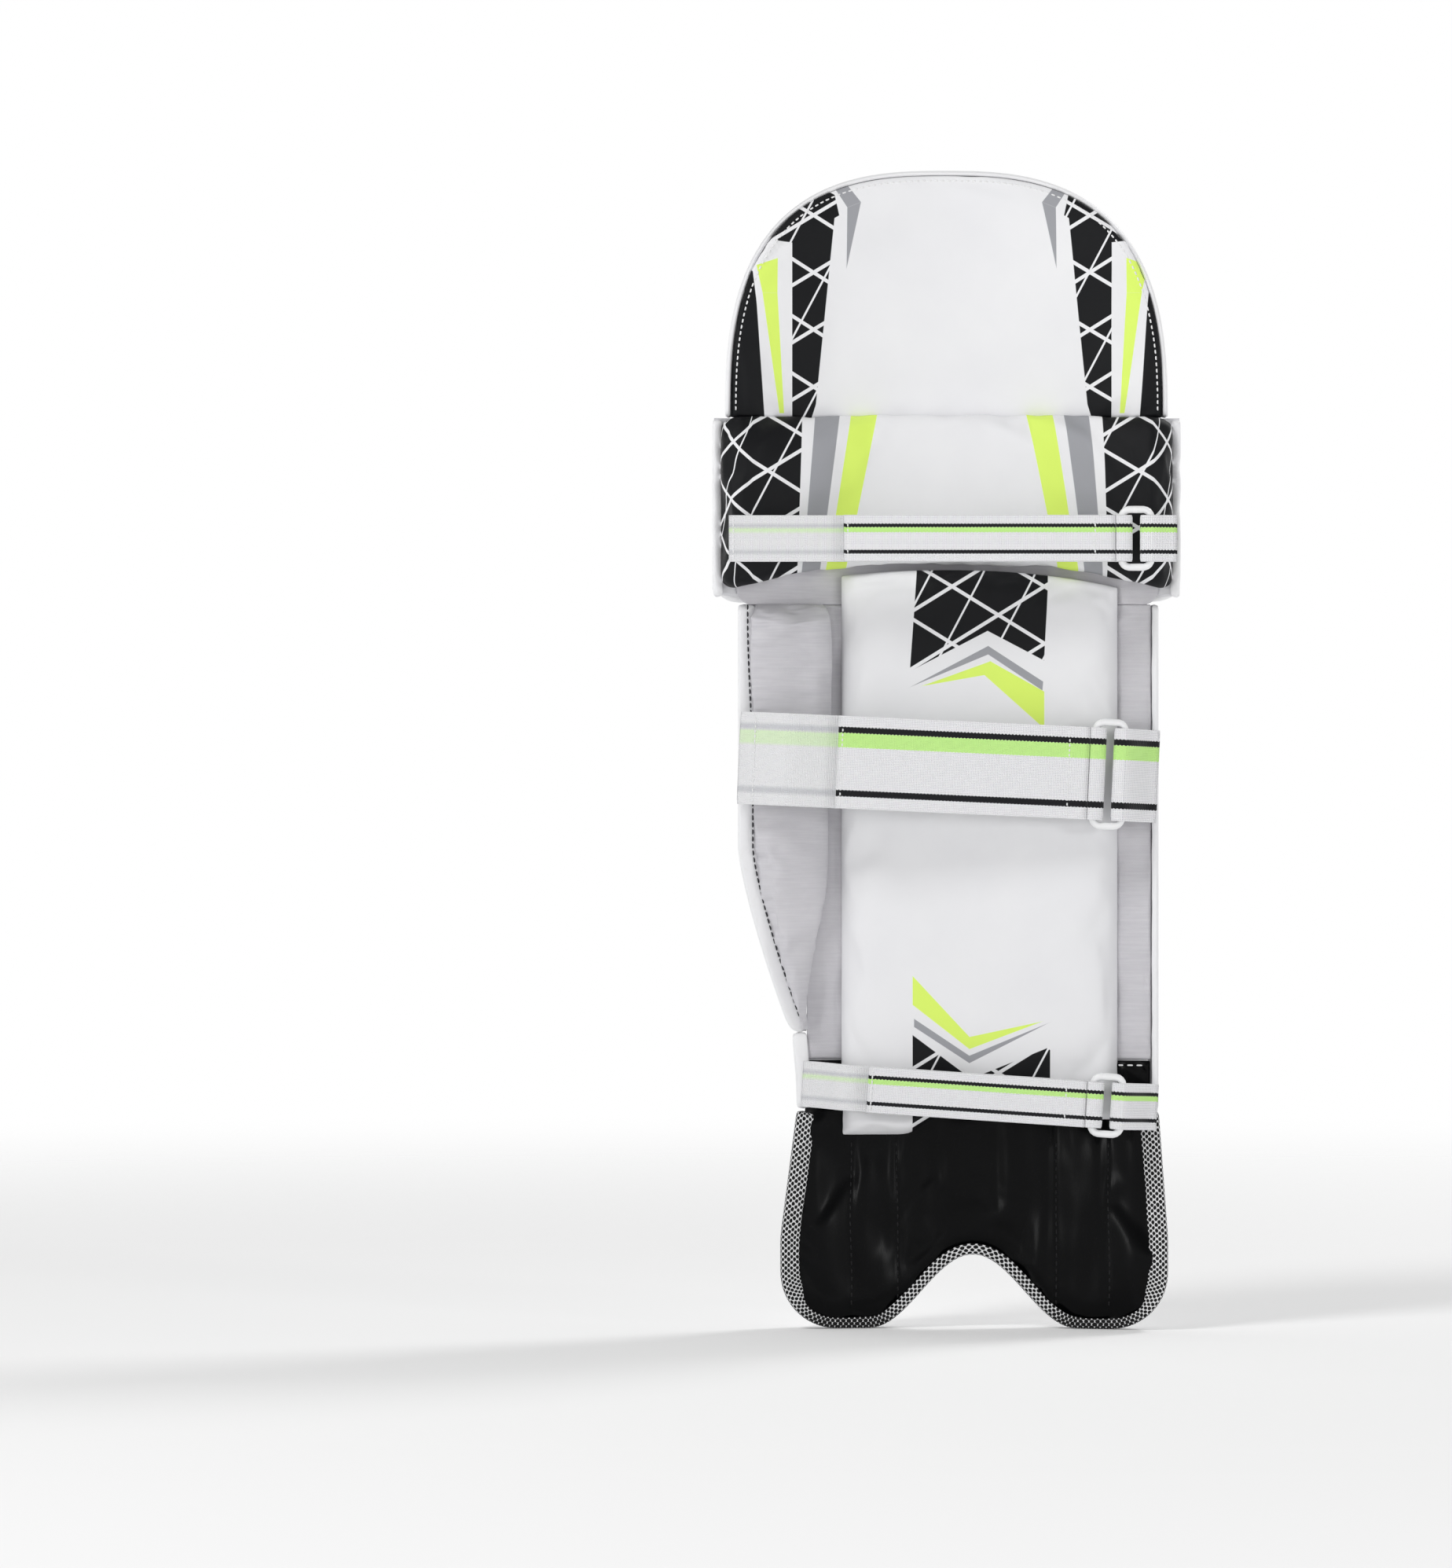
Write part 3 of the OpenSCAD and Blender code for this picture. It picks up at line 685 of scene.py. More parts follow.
def top_drift(k, z):
    """How far the seam after top panel k wanders across the leg, in mm."""
    return 0.45 * uneven(z, 13 * k + 5, 32) if 0 < k < TOP_PANELS else 0.0


def top_panel(i):
    inset = 4.6
    left = KNEE_X - TOP_PANELS / 2 * TOP_PITCH + (i - 1) * TOP_PITCH + TOP_GAP / 2
    right = left + (TOP_PITCH - TOP_GAP)
    a = dome_angle(left, inset)
    b = dome_angle(right, inset)
    left_edge = [(left, TOP_Z + 0.5), dome_point(a, inset)]
    right_edge = [(right, TOP_Z + 0.5), dome_point(b, inset)]
    if i == 1:
        a = 145.0
        left_edge = dome_stretch(180, a, inset)
    if i == TOP_PANELS:
        b = 35.0
        right_edge = dome_stretch(0, b, inset)
    bottom = [left_edge[0], right_edge[0]]
    spot = patch(left_edge, right_edge, bottom, dome_stretch(a, b, inset))

    def face(u, v):
        x, z = spot(u, v)
        gap = math.dist((x, z), spot(u, 1))
        side = min(math.dist((x, z), spot(0, v)), math.dist((x, z), spot(1, v)))
        full = TOP_RISE + 1.6 * crown(2 * u - 1, 2.0) + 0.7 * uneven(x, z, 38, i)
        rise = dome_end(corner_gap(side, gap, 7.0), 7.0) ** 0.8
        x += mix(top_drift(i - 1, z), top_drift(i, z), u)
        return on_wall(x, z, 0.8 + full * rise * mix(0.7, 1, dome_end(z - TOP_Z, 8)))

    def back(u, v):
        x, z = spot(u, v)
        return on_wall(x, z, 0.3)

    obj = cushion(f"top_front_{i}", eased(12), eased(40), face, back)
    stuff(obj, 1.4, 0.8, 0.02)
    dress(obj, None, "pu_face", PU, f"top_panel_{i}")
    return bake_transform(obj)


for i in range(1, TOP_PANELS + 1):
    top_panel(i)

# Piping and turned edges: narrow strips of white faux leather, folded over the raw edges of the dome, the
# sides of the shin, the ends of the knee and the wing, and sewn through.
FAR_EDGE = -112.0
NEAR_EDGE = 84.0
WING_CORNER = 86.6
FOLD_POINT = 6


def strides(path):
    """For each point of a chain: the way walked so far, and the direction to the left of the chain there."""
    walked = 0.0
    for k, spot in enumerate(path):
        a = path[max(k - 1, 0)]
        b = path[min(k + 1, len(path) - 1)]
        size = math.dist(a, b)
        walked += math.dist(path[k - 1], spot) if k else 0.0
        yield walked, -(b[1] - a[1]) / size, (b[0] - a[0]) / size


def map_strip(obj, places):
    """Gives a strip its UV map: the place of each point along the strip and across it, in metres."""
    uv = obj.data.uv_layers.new(name="strip")
    for loop in obj.data.loops:
        uv.data[loop.index].uv = places[loop.vertex_index]


def sweep(name, path, profile, inward=1):
    """A folded strip along a chain of (x, z) points. profile(t) is a closed ring of (d, h): d mm inside the
    edge and h mm over the wall. The place across the strip is counted from the point where it folds."""
    rings = []
    places = []
    for k, ((x, z), (walked, nx, nz)) in enumerate(zip(path, strides(path))):
        shape = profile(k / (len(path) - 1))
        section = [on_wall(x + nx * inward * d, z + nz * inward * d, h) for d, h in shape]
        girth = [0.0]
        for p, q in zip(section, section[1:]):
            girth.append(girth[-1] + (q - p).length)
        rings.append(section)
        places += [(walked * MM, g - girth[FOLD_POINT]) for g in girth]
    points = [p for ring in rings for p in ring]
    obj = link_mesh(name, points, closed_tube(0, len(rings), len(rings[0])))
    map_strip(obj, places)
    return obj


def spread(points, step):
    """The same chain of points, resampled about every step mm."""
    walk = along(points)
    length = sum(math.dist(a, b) for a, b in zip(points, points[1:]))
    count = max(2, round(length / step))
    return [tuple(walk(k / count)) for k in range(count + 1)]


def folded(front, back, high, low, thick=0.9):
    """The ring of a strip that is folded over an edge, from its front and back widths and the heights of its
    two faces."""
    outer = [(front, high - 0.5), (front - 0.4, high), (front * 0.5, high + 0.35), (1.0, high - 0.1)]
    outer += [(0.2, high - 1.2), (-0.1, mix(high, low, 0.35)), (-0.1, mix(high, low, 0.65))]
    outer += [(0.2, low + 1.2), (1.0, low + 0.1), (back * 0.5, low - 0.35), (back - 0.4, low)]
    outer += [(back, low + 0.5)]
    inner = [(back, low + thick), (1.6, low + thick), (1.2, low + 1.6), (1.2, high - 1.6)]
    inner += [(1.6, high - thick), (front, high - thick)]
    return outer + inner


def dome_piping():
    path = spread(dome_stretch(180, 0, 0, 120), 4)

    def ring(t):
        ruck = uneven(400 * t, 0, 9, 3)
        return folded(4.0 + 0.6 * ruck, 2.8, 1.9 + 0.5 * ruck, -8.6)

    obj = sweep("dome_piping", path, ring, -1)
    refine(obj, 1)
    dress(obj, None, "pu_face", PU, "top_piping")
    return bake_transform(obj)


def side_binding(name, path, body, sizes, inward, *replaced):
    """sizes are the front width, the back width and the heights of the front and the back."""

    def ring(t):
        front, back, high, low = sizes
        ruck = 0.5 * math.sin(60 * t) * uneven(40 * t, 0, 2.0, low)
        return folded(front + ruck, back - ruck, high + 0.4 * ruck, low)

    obj = sweep(name, spread(path, 4), ring, inward)
    refine(obj, 1)
    return dress(obj, body, "pu_face", PU, *replaced)


dome_piping()
far_side = [(FAR_EDGE, INSTEP_TOP + 0.4), (FAR_EDGE, SHIN_TOP - 0.5)]
side_binding("far_edge", far_side, "shin", (5.6, 3.8, 2.2, -9.6), -1, "side_edging")
near_side = [(NEAR_EDGE, INSTEP_TOP + 0.4), (NEAR_EDGE + 0.4, 135.0), (WING_CORNER, WING_LOW)]
side_binding("near_edge", near_side, "shin", (8.0, 8.0, 2.2, -9.6), 1)
wing_rim = [(WING_SEAM + 1.0, WING_LOW + 0.2), (84.5, WING_LOW + 0.2), (WING_CORNER, WING_LOW + 1.0)]
wing_rim += [(wing_edge(z), z) for z in wing_levels(40)[1:]]
side_binding("wing_rim", wing_rim, "wing", (5.2, 9.8, 2.6, -8.0), 1, "wing_edging")
for side, sign in (("far", -1), ("near", 1)):
    knee_end = []
    for k in range(51):
        z = mix(SHIN_TOP + 3.0, KNEE_TOP - 0.6, k / 50)
        wave = 0.9 * uneven(z, sign, 11) + 0.5 * uneven(z, sign, 4)
        knee_end.append((KNEE_X + sign * (KNEE_HALF + 0.6 + wave), z))
    side_binding(f"knee_end_{side}", knee_end, "knee", (1.6, 5.2, 0.2, -8.8), sign)

# Printed cloth: white coated polyester with a fine weave. Its stripes, chevrons and latticed black panels are
# flat inks, laid out in mm across (x) and up (z) the pad.
WHITE = linear("EFEFF1")
LIME = linear("E0FB70")
GREY = linear("A0A1A6")
BLACK = linear("0F1013")
LATTICE = ((0.62, 31.0), (-0.62, 31.0), (1.9, 54.0))
WEAVE_TURN = 10.5


def print_mask(tree, x, z, corners):
    """1 inside a convex shape, whose corners are (x, z) points in order round it, and 0 outside it."""
    turn = sum(a[0] * b[1] - b[0] * a[1] for a, b in zip(corners, corners[1:] + corners[:1]))
    inside = None
    for a, b in zip(corners, corners[1:] + corners[:1]):
        size = math.copysign(math.dist(a, b), turn)
        nx, nz = -(b[1] - a[1]) / size, (b[0] - a[0]) / size
        shift = -(nx * a[0] + nz * a[1])
        part = add(tree, "ShaderNodeMath", {0: x, 1: nx, 2: shift}, operation="MULTIPLY_ADD")[0]
        part = add(tree, "ShaderNodeMath", {0: z, 1: nz, 2: part}, operation="MULTIPLY_ADD")[0]
        edge = add(tree, "ShaderNodeMapRange", {"Value": part, "From Min": -0.15, "From Max": 0.15})["Result"]
        if inside is None:
            inside = edge
        else:
            inside = add(tree, "ShaderNodeMath", {0: inside, 1: edge}, operation="MULTIPLY")[0]
    return inside


def printed_cloth(shapes):
    """The dress of a printed cloth. shapes lists an ink, or "lattice", and the corners that it fills. The
    lines of the lattice have a tilt and a pitch in mm, and follow the cloth round the knee bolster's ends.
    The weave turns by WEAVE_TURN each mm. Its waves are 0.6 mm long, coarser than the thread, to show."""

    def dress_cloth(tree):
        spot = add(tree, "ShaderNodeTexCoord", {})["Object"]
        large = add(tree, "ShaderNodeVectorMath", {0: spot, 1: (1000, 1000, 1000)}, operation="MULTIPLY")[0]
        parts = add(tree, "ShaderNodeSeparateXYZ", {0: large})
        x, z = parts["X"], parts["Z"]
        side = add(tree, "ShaderNodeMath", {0: x}, operation="SIGN")[0]
        reach = add(tree, "ShaderNodeMath", {0: x}, operation="ABSOLUTE")[0]
        end = {"Value": reach, "From Min": 108.0, "From Max": 119.0}
        end = add(tree, "ShaderNodeMapRange", end)["Result"]
        inward = {"Value": parts["Y"], "From Min": 56.0, "From Max": 26.0, "To Max": 30.0}
        inward = add(tree, "ShaderNodeMapRange", inward)["Result"]
        inward = add(tree, "ShaderNodeMath", {0: inward, 1: side}, operation="MULTIPLY")[0]
        unrolled = add(tree, "ShaderNodeMath", {0: inward, 1: end, 2: x}, operation="MULTIPLY_ADD")[0]
        lines = None
        for tilt, pitch in LATTICE:
            slide = add(tree, "ShaderNodeMath", {0: unrolled, 1: tilt, 2: z}, operation="MULTIPLY_ADD")[0]
            lap = add(tree, "ShaderNodeMath", {0: slide, 1: pitch / 2}, operation="PINGPONG")[0]
            line = {"Value": lap, "From Min": 1.25, "From Max": 1.0}
            line = add(tree, "ShaderNodeMapRange", line)["Result"]
            if lines is None:
                lines = line
            else:
                lines = add(tree, "ShaderNodeMath", {0: lines, 1: line}, operation="MAXIMUM")[0]
        lattice = add(tree, "ShaderNodeMix", {0: lines, 6: BLACK, 7: WHITE}, data_type="RGBA")[2]
        clouds = add(tree, "ShaderNodeTexNoise", {"Vector": spot, "Scale": 20.0, "Detail": 4.0})["Fac"]
        whites = {0: clouds, 6: linear("E8E8EB"), 7: linear("F4F4F5")}
        colour = add(tree, "ShaderNodeMix", whites, data_type="RGBA")[2]
        for ink, corners in shapes:
            mask = print_mask(tree, x, z, corners)
            fill = lattice if ink == "lattice" else ink
            colour = add(tree, "ShaderNodeMix", {0: mask, 6: colour, 7: fill}, data_type="RGBA")[2]
        warp = add(tree, "ShaderNodeMath", {0: x, 1: WEAVE_TURN}, operation="MULTIPLY")[0]
        weft = add(tree, "ShaderNodeMath", {0: z, 1: WEAVE_TURN}, operation="MULTIPLY")[0]
        warp = add(tree, "ShaderNodeMath", {0: warp}, operation="SINE")[0]
        weft = add(tree, "ShaderNodeMath", {0: weft}, operation="SINE")[0]
        weave = add(tree, "ShaderNodeMath", {0: warp, 1: weft}, operation="MULTIPLY")[0]
        fine = add(tree, "ShaderNodeBump", {"Strength": 0.2, "Distance": 0.0002, "Height": weave})["Normal"]
        return {"Base Color": colour, "Roughness": 0.55, "Normal": fine, "Specular IOR Level": 0.2}

    return dress_cloth


def both_sides(shapes):
    """Each shape, and its mirror image on the other side of the leg axis."""
    pairs = []
    for ink, corners in shapes:
        pairs.append((ink, corners))
        pairs.append((ink, [(-x, z) for x, z in corners]))
    return pairs


# Top hat back: printed cloth over thin foam, which stands up a little from the foam of the top hat. It is
# sewn into the piping of the dome with a row of white stitches.
CLOTH_FOOT = -6.3
TOP_BACK_RISE = 6.6
TOP_PRINT = both_sides(
    [
        (BLACK, [(130, 494), (98, 494), (105.9, 557), (107, 573), (130, 590)]),
        (LIME, [(93.5, 497), (102.7, 562), (94.6, 562), (91, 497)]),
        (LIME, [(102.7, 562), (106, 577), (94.4, 581), (94.6, 562)]),
        ("lattice", [(61, 542), (73.7, 502), (74.5, 494), (86.6, 494), (86.6, 591), (61, 605)]),
        ("lattice", [(61, 604.6), (86.6, 589.5), (110, 592), (80, 625), (63.5, 616)]),
        (GREY, [(57, 576), (49.2, 612), (56.6, 609)]),
        (GREY, [(49.2, 612), (57, 622), (63, 619), (56.6, 609)]),
    ]
)


def top_back():
    inset = 3.1
    spot = patch(
        dome_stretch(180, 140, inset),
        dome_stretch(0, 40, inset),
        [dome_point(180, inset), dome_point(0, inset)],
        dome_stretch(140, 40, inset),
    )

    def rise(u, v):
        here = spot(u, v)
        edge = min(math.dist(here, far) for far in (spot(u, 1), spot(0, v), spot(1, v)))
        return dome_end(edge, 16) * mix(0.6, 1, dome_end(here[1] - TOP_Z, 10))

    def face(u, v):
        x, z = spot(u, v)
        return on_wall(x, z, -7.2 - TOP_BACK_RISE * rise(u, v) - 0.7 * uneven(x, z, 55, 2))

    def back(u, v):
        x, z = spot(u, v)
        return on_wall(x, z, CLOTH_FOOT)

    obj = cushion("top_back", eased(44), eased(32), face, back)
    stuff(obj, 1.0, 2.0, 0.03)
    dress(obj, None, "printed_cloth", material("top_print", printed_cloth(TOP_PRINT)), "top_lining")
    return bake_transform(obj)


back_cloth = top_back()
row = landed(back_cloth, dome_stretch(179.6, 0.4, 5.8, 200), -1, 0.1)
thread_row = stitches("top_back_stitch", row, None, WHITE_THREAD, -1, 3.4)
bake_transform(thread_row)

# Knee bolster: a full, wide roll of printed cloth over soft foam, behind the knee. It is sewn to the foam of
# the knee along its top and its arched lower edge, and shut at both ends.
BOLSTER_RISE = 22.5
BOLSTER_OVER = 12.5
ARCH_LOW = 395.8
ARCH_RISE = 19
KNEE_PRINT = both_sides(
    [
        ("lattice", [(80.8, 503), (140, 503), (140, 385), (84.6, 385), (82.9, 440)]),
        (GREY, [(73.6, 503), (59.9, 503), (68, 440), (78.7, 440)]),
        (GREY, [(78.7, 440), (68, 440), (75, 385), (84, 385)]),
        (LIME, [(53.6, 503), (39.1, 503), (51.9, 440), (63.3, 440)]),
        (LIME, [(63.3, 440), (51.9, 440), (63, 385), (73.4, 385)]),
    ]
)


def knee_arch(x):
    """Height of the bolster's lower edge, which is cut to an arch over the shin."""
    return ARCH_LOW + ARCH_RISE * (1 - min(abs(x - KNEE_X) / KNEE_HALF, 1.0) ** 2.2)


def knee_bolster():
    half = KNEE_HALF - 3.6

    def place(u, v):
        x = KNEE_X + (2 * u - 1) * half
        turned = 1 - dome_end(half - abs(x - KNEE_X), 10)
        return x, mix(knee_arch(x) + 4.5 + 6 * turned, KNEE_TOP - 2.0 - 3 * turned, v)

    def face(u, v):
        x, z = place(u, v)
        end = dome_end(half - abs(x - KNEE_X), 15)
        full = crown(2 * v - 1, 3.0, 0.5) * mix(0.12, 1, end)
        fold = 0.8 * uneven(x * 0.5, z, 22, 6) * ramp(abs(2 * v - 1), 0.4, 0.9)
        fold += 1.3 * uneven(x * 0.4, z, 7, 3) * ramp(half - abs(x - KNEE_X), 16, 3)
        over = BOLSTER_OVER * (2 * v - 1) * full
        return on_wall(x, z + over, -6.8 - BOLSTER_RISE * full - fold * min(full * 2, 1))

    def back(u, v):
        x, z = place(u, v)
        return on_wall(x, z, CLOTH_FOOT)

    obj = cushion("knee_bolster", eased(72), eased(28), face, back)
    stuff(obj, 2.5, 2.5, 0.03)
    finish = material("knee_print", printed_cloth(KNEE_PRINT))
    return dress(obj, "knee", "printed_cloth", finish, "knee_bolster_cover", "knee_bolster_foam")


knee_bolster()

# Shin bolster: a flat-backed cushion of printed cloth over firm foam, down the middle of the shin. It is sewn
# to the lining along crisp edges.
BOLSTER_X = -15.6
BOLSTER_HALF = 75.0
BOLSTER_TALL = 290
LINING_R = 311.7
BOLSTER_FOOT_R = 311.5
BOLSTER_FLAT_R = 291.9
SHIN_PRINT = [
    ("lattice", [(18.4, 420), (22.9, 357), (-19.8, 379.2), (-19.8, 420)]),
    ("lattice", [(-19, 420), (-19, 379), (-49.7, 362.8), (-52.8, 420)]),
    (GREY, [(22.5, 348.6), (-19.6, 370.8), (-19.6, 366.2)]),
    (GREY, [(-19.4, 366.2), (-19.4, 370.8), (-49.2, 351.4), (-48.8, 346.6)]),
    (LIME, [(16.6, 349), (-20.6, 362.4), (-17.6, 355)]),
    (LIME, [(-20.4, 362.6), (-49.8, 346), (-49.8, 326), (-17.4, 355)]),
    (LIME, [(21.4, 192), (21.4, 176.4), (-9.4, 152.4), (-9.4, 159)]),
    (LIME, [(-9.2, 159), (-9.2, 152.4), (-48.8, 167.5)]),
    (GREY, [(20.6, 168.8), (20.6, 164.4), (-9.4, 144.8), (-9.4, 148.8)]),
    (GREY, [(-9.2, 148.8), (-9.2, 144.8), (-52, 166.6)]),
    ("lattice", [(21.4, 160), (-10.4, 136.3), (-10.4, 100), (21.4, 100)]),
    ("lattice", [(-53, 153.7), (-10, 136.3), (-10, 100), (-53, 100)]),
]


def shin_bolster():
    turn = math.asin(BOLSTER_X / LINING_R)

    def place(u, v, deep):
        """deep is 0 on the lining and 1 on the flat back."""
        across = (2 * u - 1) * BOLSTER_HALF
        wall = math.sqrt(BOLSTER_FOOT_R**2 - across * across)
        depth = mix(wall, BOLSTER_FLAT_R, deep)
        x = across * math.cos(turn) + depth * math.sin(turn)
        y = WRAP_R + across * math.sin(turn) - depth * math.cos(turn)
        low = mix(114.0, 105.4, ramp(x, 10, 24))
        return Vector((x, y, mix(low, knee_arch(x) - 2.5, v))) * MM

    def tucked(v):
        """Share by which the cushion stands off the lining where it runs in under the knee bolster."""
        return ramp(v, 0.93, 0.97)

    def face(u, v):
        z = place(u, v, 0)[2] / MM
        gap = (1 - v) * BOLSTER_TALL
        full = crown(2 * u - 1, 14, 0.5) * dome_end(v * BOLSTER_TALL + 0.4, 7)
        full *= mix(0.45, 1, dome_end(gap, 16))
        soft = 0.05 * crown(2 * u - 1, 2) + 0.03 * uneven(u * 150, z, 60, 8)
        return place(u, v, max(0.04 + full * (0.93 + soft), 0.3 * tucked(v)))

    def back(u, v):
        return place(u, v, 0.24 * tucked(v))

    obj = cushion("shin_bolster", eased(32), eased(60), face, back)
    stuff(obj, 1.0, 1.5, 0.02)
    finish = material("shin_print", printed_cloth(SHIN_PRINT))
    dress(obj, "shin", "printed_cloth", finish, "shin_bolster_cover", "shin_bolster_foam")
    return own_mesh(obj)


shin_bolster()

# Lining and wing bolster: grey polyester cloth, plain woven and a little wrinkled. The wing bolster is a long
# soft pillow that is sewn to the wing and laps over the seam.
def grey_cloth(tree):
    """Plain weave of threads 0.4 mm wide, two in each 0.8 mm wave, with slubs and soft soiling."""
    spot = add(tree, "ShaderNodeTexCoord", {})["Object"]
    clouds = add(tree, "ShaderNodeTexNoise", {"Vector": spot, "Scale": 12.0, "Detail": 5.0})["Fac"]
    parts = add(tree, "ShaderNodeSeparateXYZ", {0: spot})
    slub_spot = add(tree, "ShaderNodeVectorMath", {0: spot, 1: (60, 60, 900)}, operation="MULTIPLY")[0]
    slubs = add(tree, "ShaderNodeTexNoise", {"Vector": slub_spot, "Scale": 1.0, "Detail": 2.0})["Fac"]
    waves = []
    for part in (parts["X"], parts["Z"]):
        lap = add(tree, "ShaderNodeMath", {0: part, 1: 7850.0}, operation="MULTIPLY")[0]
        waves.append(add(tree, "ShaderNodeMath", {0: lap}, operation="SINE")[0])
    weave = add(tree, "ShaderNodeMath", {0: waves[0], 1: waves[1]}, operation="MULTIPLY")[0]
    weave = add(tree, "ShaderNodeMath", {0: slubs, 1: 3.0, 2: weave}, operation="MULTIPLY_ADD")[0]
    greys = {0: clouds, 6: linear("BFBEC4"), 7: linear("D6D4D8")}
    tone = add(tree, "ShaderNodeMix", greys, data_type="RGBA")[2]
    pale = {"Value": slubs, "From Min": 0.35, "From Max": 0.8, "To Max": 0.5}
    pale = add(tree, "ShaderNodeMapRange", pale)["Result"]
    colour = add(tree, "ShaderNodeMix", {0: pale, 6: tone, 7: linear("DCDBDE")}, data_type="RGBA")[2]
    fine = add(tree, "ShaderNodeBump", {"Strength": 0.35, "Distance": 0.0002, "Height": weave})["Normal"]
    nap = {"Sheen Weight": 0.15, "Specular IOR Level": 0.25}
    return {"Base Color": colour, "Roughness": 0.82, "Normal": fine, **nap}


GREY_CLOTH = material("grey_polyester", grey_cloth)
LINING_FOOT = -6.2
SATIN_TOP = 146.0


def shin_lining():
    def place(u, v):
        z = mix(SATIN_TOP + 0.6, SHIN_TOP - 0.6, v)
        return mix(-108.0, 77.6 + ramp(z, 220, 200), u), z

    def face(u, v):
        x, z = place(u, v)
        wrinkle = 0.7 * uneven(x, z * 0.5, 14, 3) + 0.5 * uneven(x * 2, z * 0.3, 18, 5)
        wrinkle += 3.4 * abs(uneven(x, z * 1.3, 13, 8)) * ramp(z, 366, 388) * ramp(x, -72, -86)
        return on_wall(x, z, -7.7 - max(wrinkle, -0.9) * dome_end(x + 106, 6))

    def back(u, v):
        x, z = place(u, v)
        return on_wall(x, z, LINING_FOOT)

    obj = cushion("shin_lining_cloth", eased(60), eased(40), face, back)
    stuff(obj, 0.3, 0.6, 0.02)
    return dress(obj, "shin", "grey_lining", GREY_CLOTH, "shin_lining")


WING_LAP = 11.5


def wing_hem(z):
    """Width of the turned edge that shows beside the wing bolster, in mm."""
    return mix(9.4, 6.6, ramp(z, 300, 385))


def wing_bolster():
    def place(u, v):
        z = mix(WING_LOW + 1.5, SHIN_TOP - 0.4, v)
        outer = wing_edge(z) - wing_hem(z)
        lap = WING_LAP * ramp(z, 150, 260)
        section = along(
            [
                (79.0, -2.6),
                (78.4, -7.5),
                (77.6 - 0.6 * lap, -10.4),
                (78.2 - lap, -14.0),
                (79.0 - lap, -18.5),
                (82.0 - 0.7 * lap, -21.4),
                (mix(79.0, outer, 0.45), -22.6),
                (mix(79.0, outer, 0.75), -20.5),
                (outer - 1.5, -14.5),
                (outer, -8.0),
                (outer + 0.2, -3.0),
            ]
        )
        return section(u), z

    def face(u, v):
        (x, h), z = place(u, v)
        end = dome_end(z - WING_LOW, 22) * dome_end(SHIN_TOP - z, 12)
        ruck = 0.9 * uneven(x * 0.6, z, 16, 7) + 1.3 * uneven(x, z * 0.6, 45, 1)
        pucker = math.sin(z * 1.05 + 2.5 * uneven(z, 0, 25)) * ramp(u, 0.68, 0.8) * ramp(u, 1.0, 0.93)
        middle = mix(82, 90, ramp(z, 200, 280))
        out = -2.6 + (h + 2.6) * mix(0.3, 1, end) - ruck * crown(2 * u - 1, 2) - 0.8 * pucker * end
        return on_wall(mix(middle, x, mix(0.75, 1, end)), z, out)

    def back(u, v):
        z = place(u, v)[1]
        return on_wall(mix(79.6, wing_edge(z) - wing_hem(z) - 0.2, u), z, -2.2)

    obj = cushion("wing_bolster", eased(24), eased(120), face, back)
    stuff(obj, 2.0, 2.5, 0.05)
    return dress(obj, "wing", "grey_lining", GREY_CLOTH, "wing_bolster_cover", "wing_bolster_foam")


SKIRT_LEFT = -112.0
SKIRT_RIGHT = 117.0
SKIRT_LOW = 393.3


def knee_skirt():
    """The lining's upper edge, which is sewn up behind the knee bolster and shows below its arch."""

    def end_gap(x):
        return min(x - SKIRT_LEFT, SKIRT_RIGHT - x)

    def place(u, v):
        x = mix(SKIRT_LEFT, SKIRT_RIGHT, u)
        return x, mix(SKIRT_LOW + 8 * (1 - dome_end(end_gap(x), 8)), knee_arch(x) + 8, v)

    def face(u, v):
        x, z = place(u, v)
        ruck = 1.5 * abs(uneven(x, z * 0.3, 8, 4)) + 1.2 * uneven(x, z, 30, 2)
        return on_wall(x, z, -7.4 - max(ruck, -0.4) * dome_end(end_gap(x), 6))

    def back(u, v):
        x, z = place(u, v)
        return on_wall(x, z, LINING_FOOT)

    obj = cushion("knee_skirt", eased(90), eased(10), face, back)
    refine(obj, 1)
    dress(obj, None, "grey_lining", GREY_CLOTH)
    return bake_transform(obj)


shin_lining()
wing_bolster()
knee_skirt()
row = [on_wall(wing_edge(z) - wing_hem(z) + 1.3, z, -8.8) for z in wing_levels(60)[2:]]
stitches("wing_stitch", row, "wing", DARK_THREAD, -1, 3.8)

# Instep lining: glossy black satin over thin wadding behind the instep. It is bound into the foot tape, sewn
# down by four upright seams and hemmed along its top.
SATIN_SEAMS = (-85.0, -57.0, 29.0, 55.0)
SATIN_LEFT = -107.5
SATIN_RIGHT = 79.5
SATIN_CORNER = 18.5
SATIN_RISE = 3.4


def black_satin(tree):
    """Warp-faced satin: dark, with a soft shine that breaks along fine upright threads."""
    spot = add(tree, "ShaderNodeTexCoord", {})["Object"]
    thread_spot = add(tree, "ShaderNodeVectorMath", {0: spot, 1: (2600, 2600, 90)}, operation="MULTIPLY")[0]
    threads = add(tree, "ShaderNodeTexNoise", {"Vector": thread_spot, "Scale": 1.0, "Detail": 2.0})["Fac"]
    clouds = add(tree, "ShaderNodeTexNoise", {"Vector": spot, "Scale": 25.0, "Detail": 4.0})["Fac"]
    blacks = {0: clouds, 6: linear("020203"), 7: linear("070809")}
    tone = add(tree, "ShaderNodeMix", blacks, data_type="RGBA")[2]
    shine = add(tree, "ShaderNodeMapRange", {"Value": threads, "To Min": 0.2, "To Max": 0.3})["Result"]
    fine = add(tree, "ShaderNodeBump", {"Strength": 0.12, "Distance": 0.0002, "Height": threads})["Normal"]
    return {"Base Color": tone, "Roughness": shine, "Normal": fine, "Specular IOR Level": 0.1}


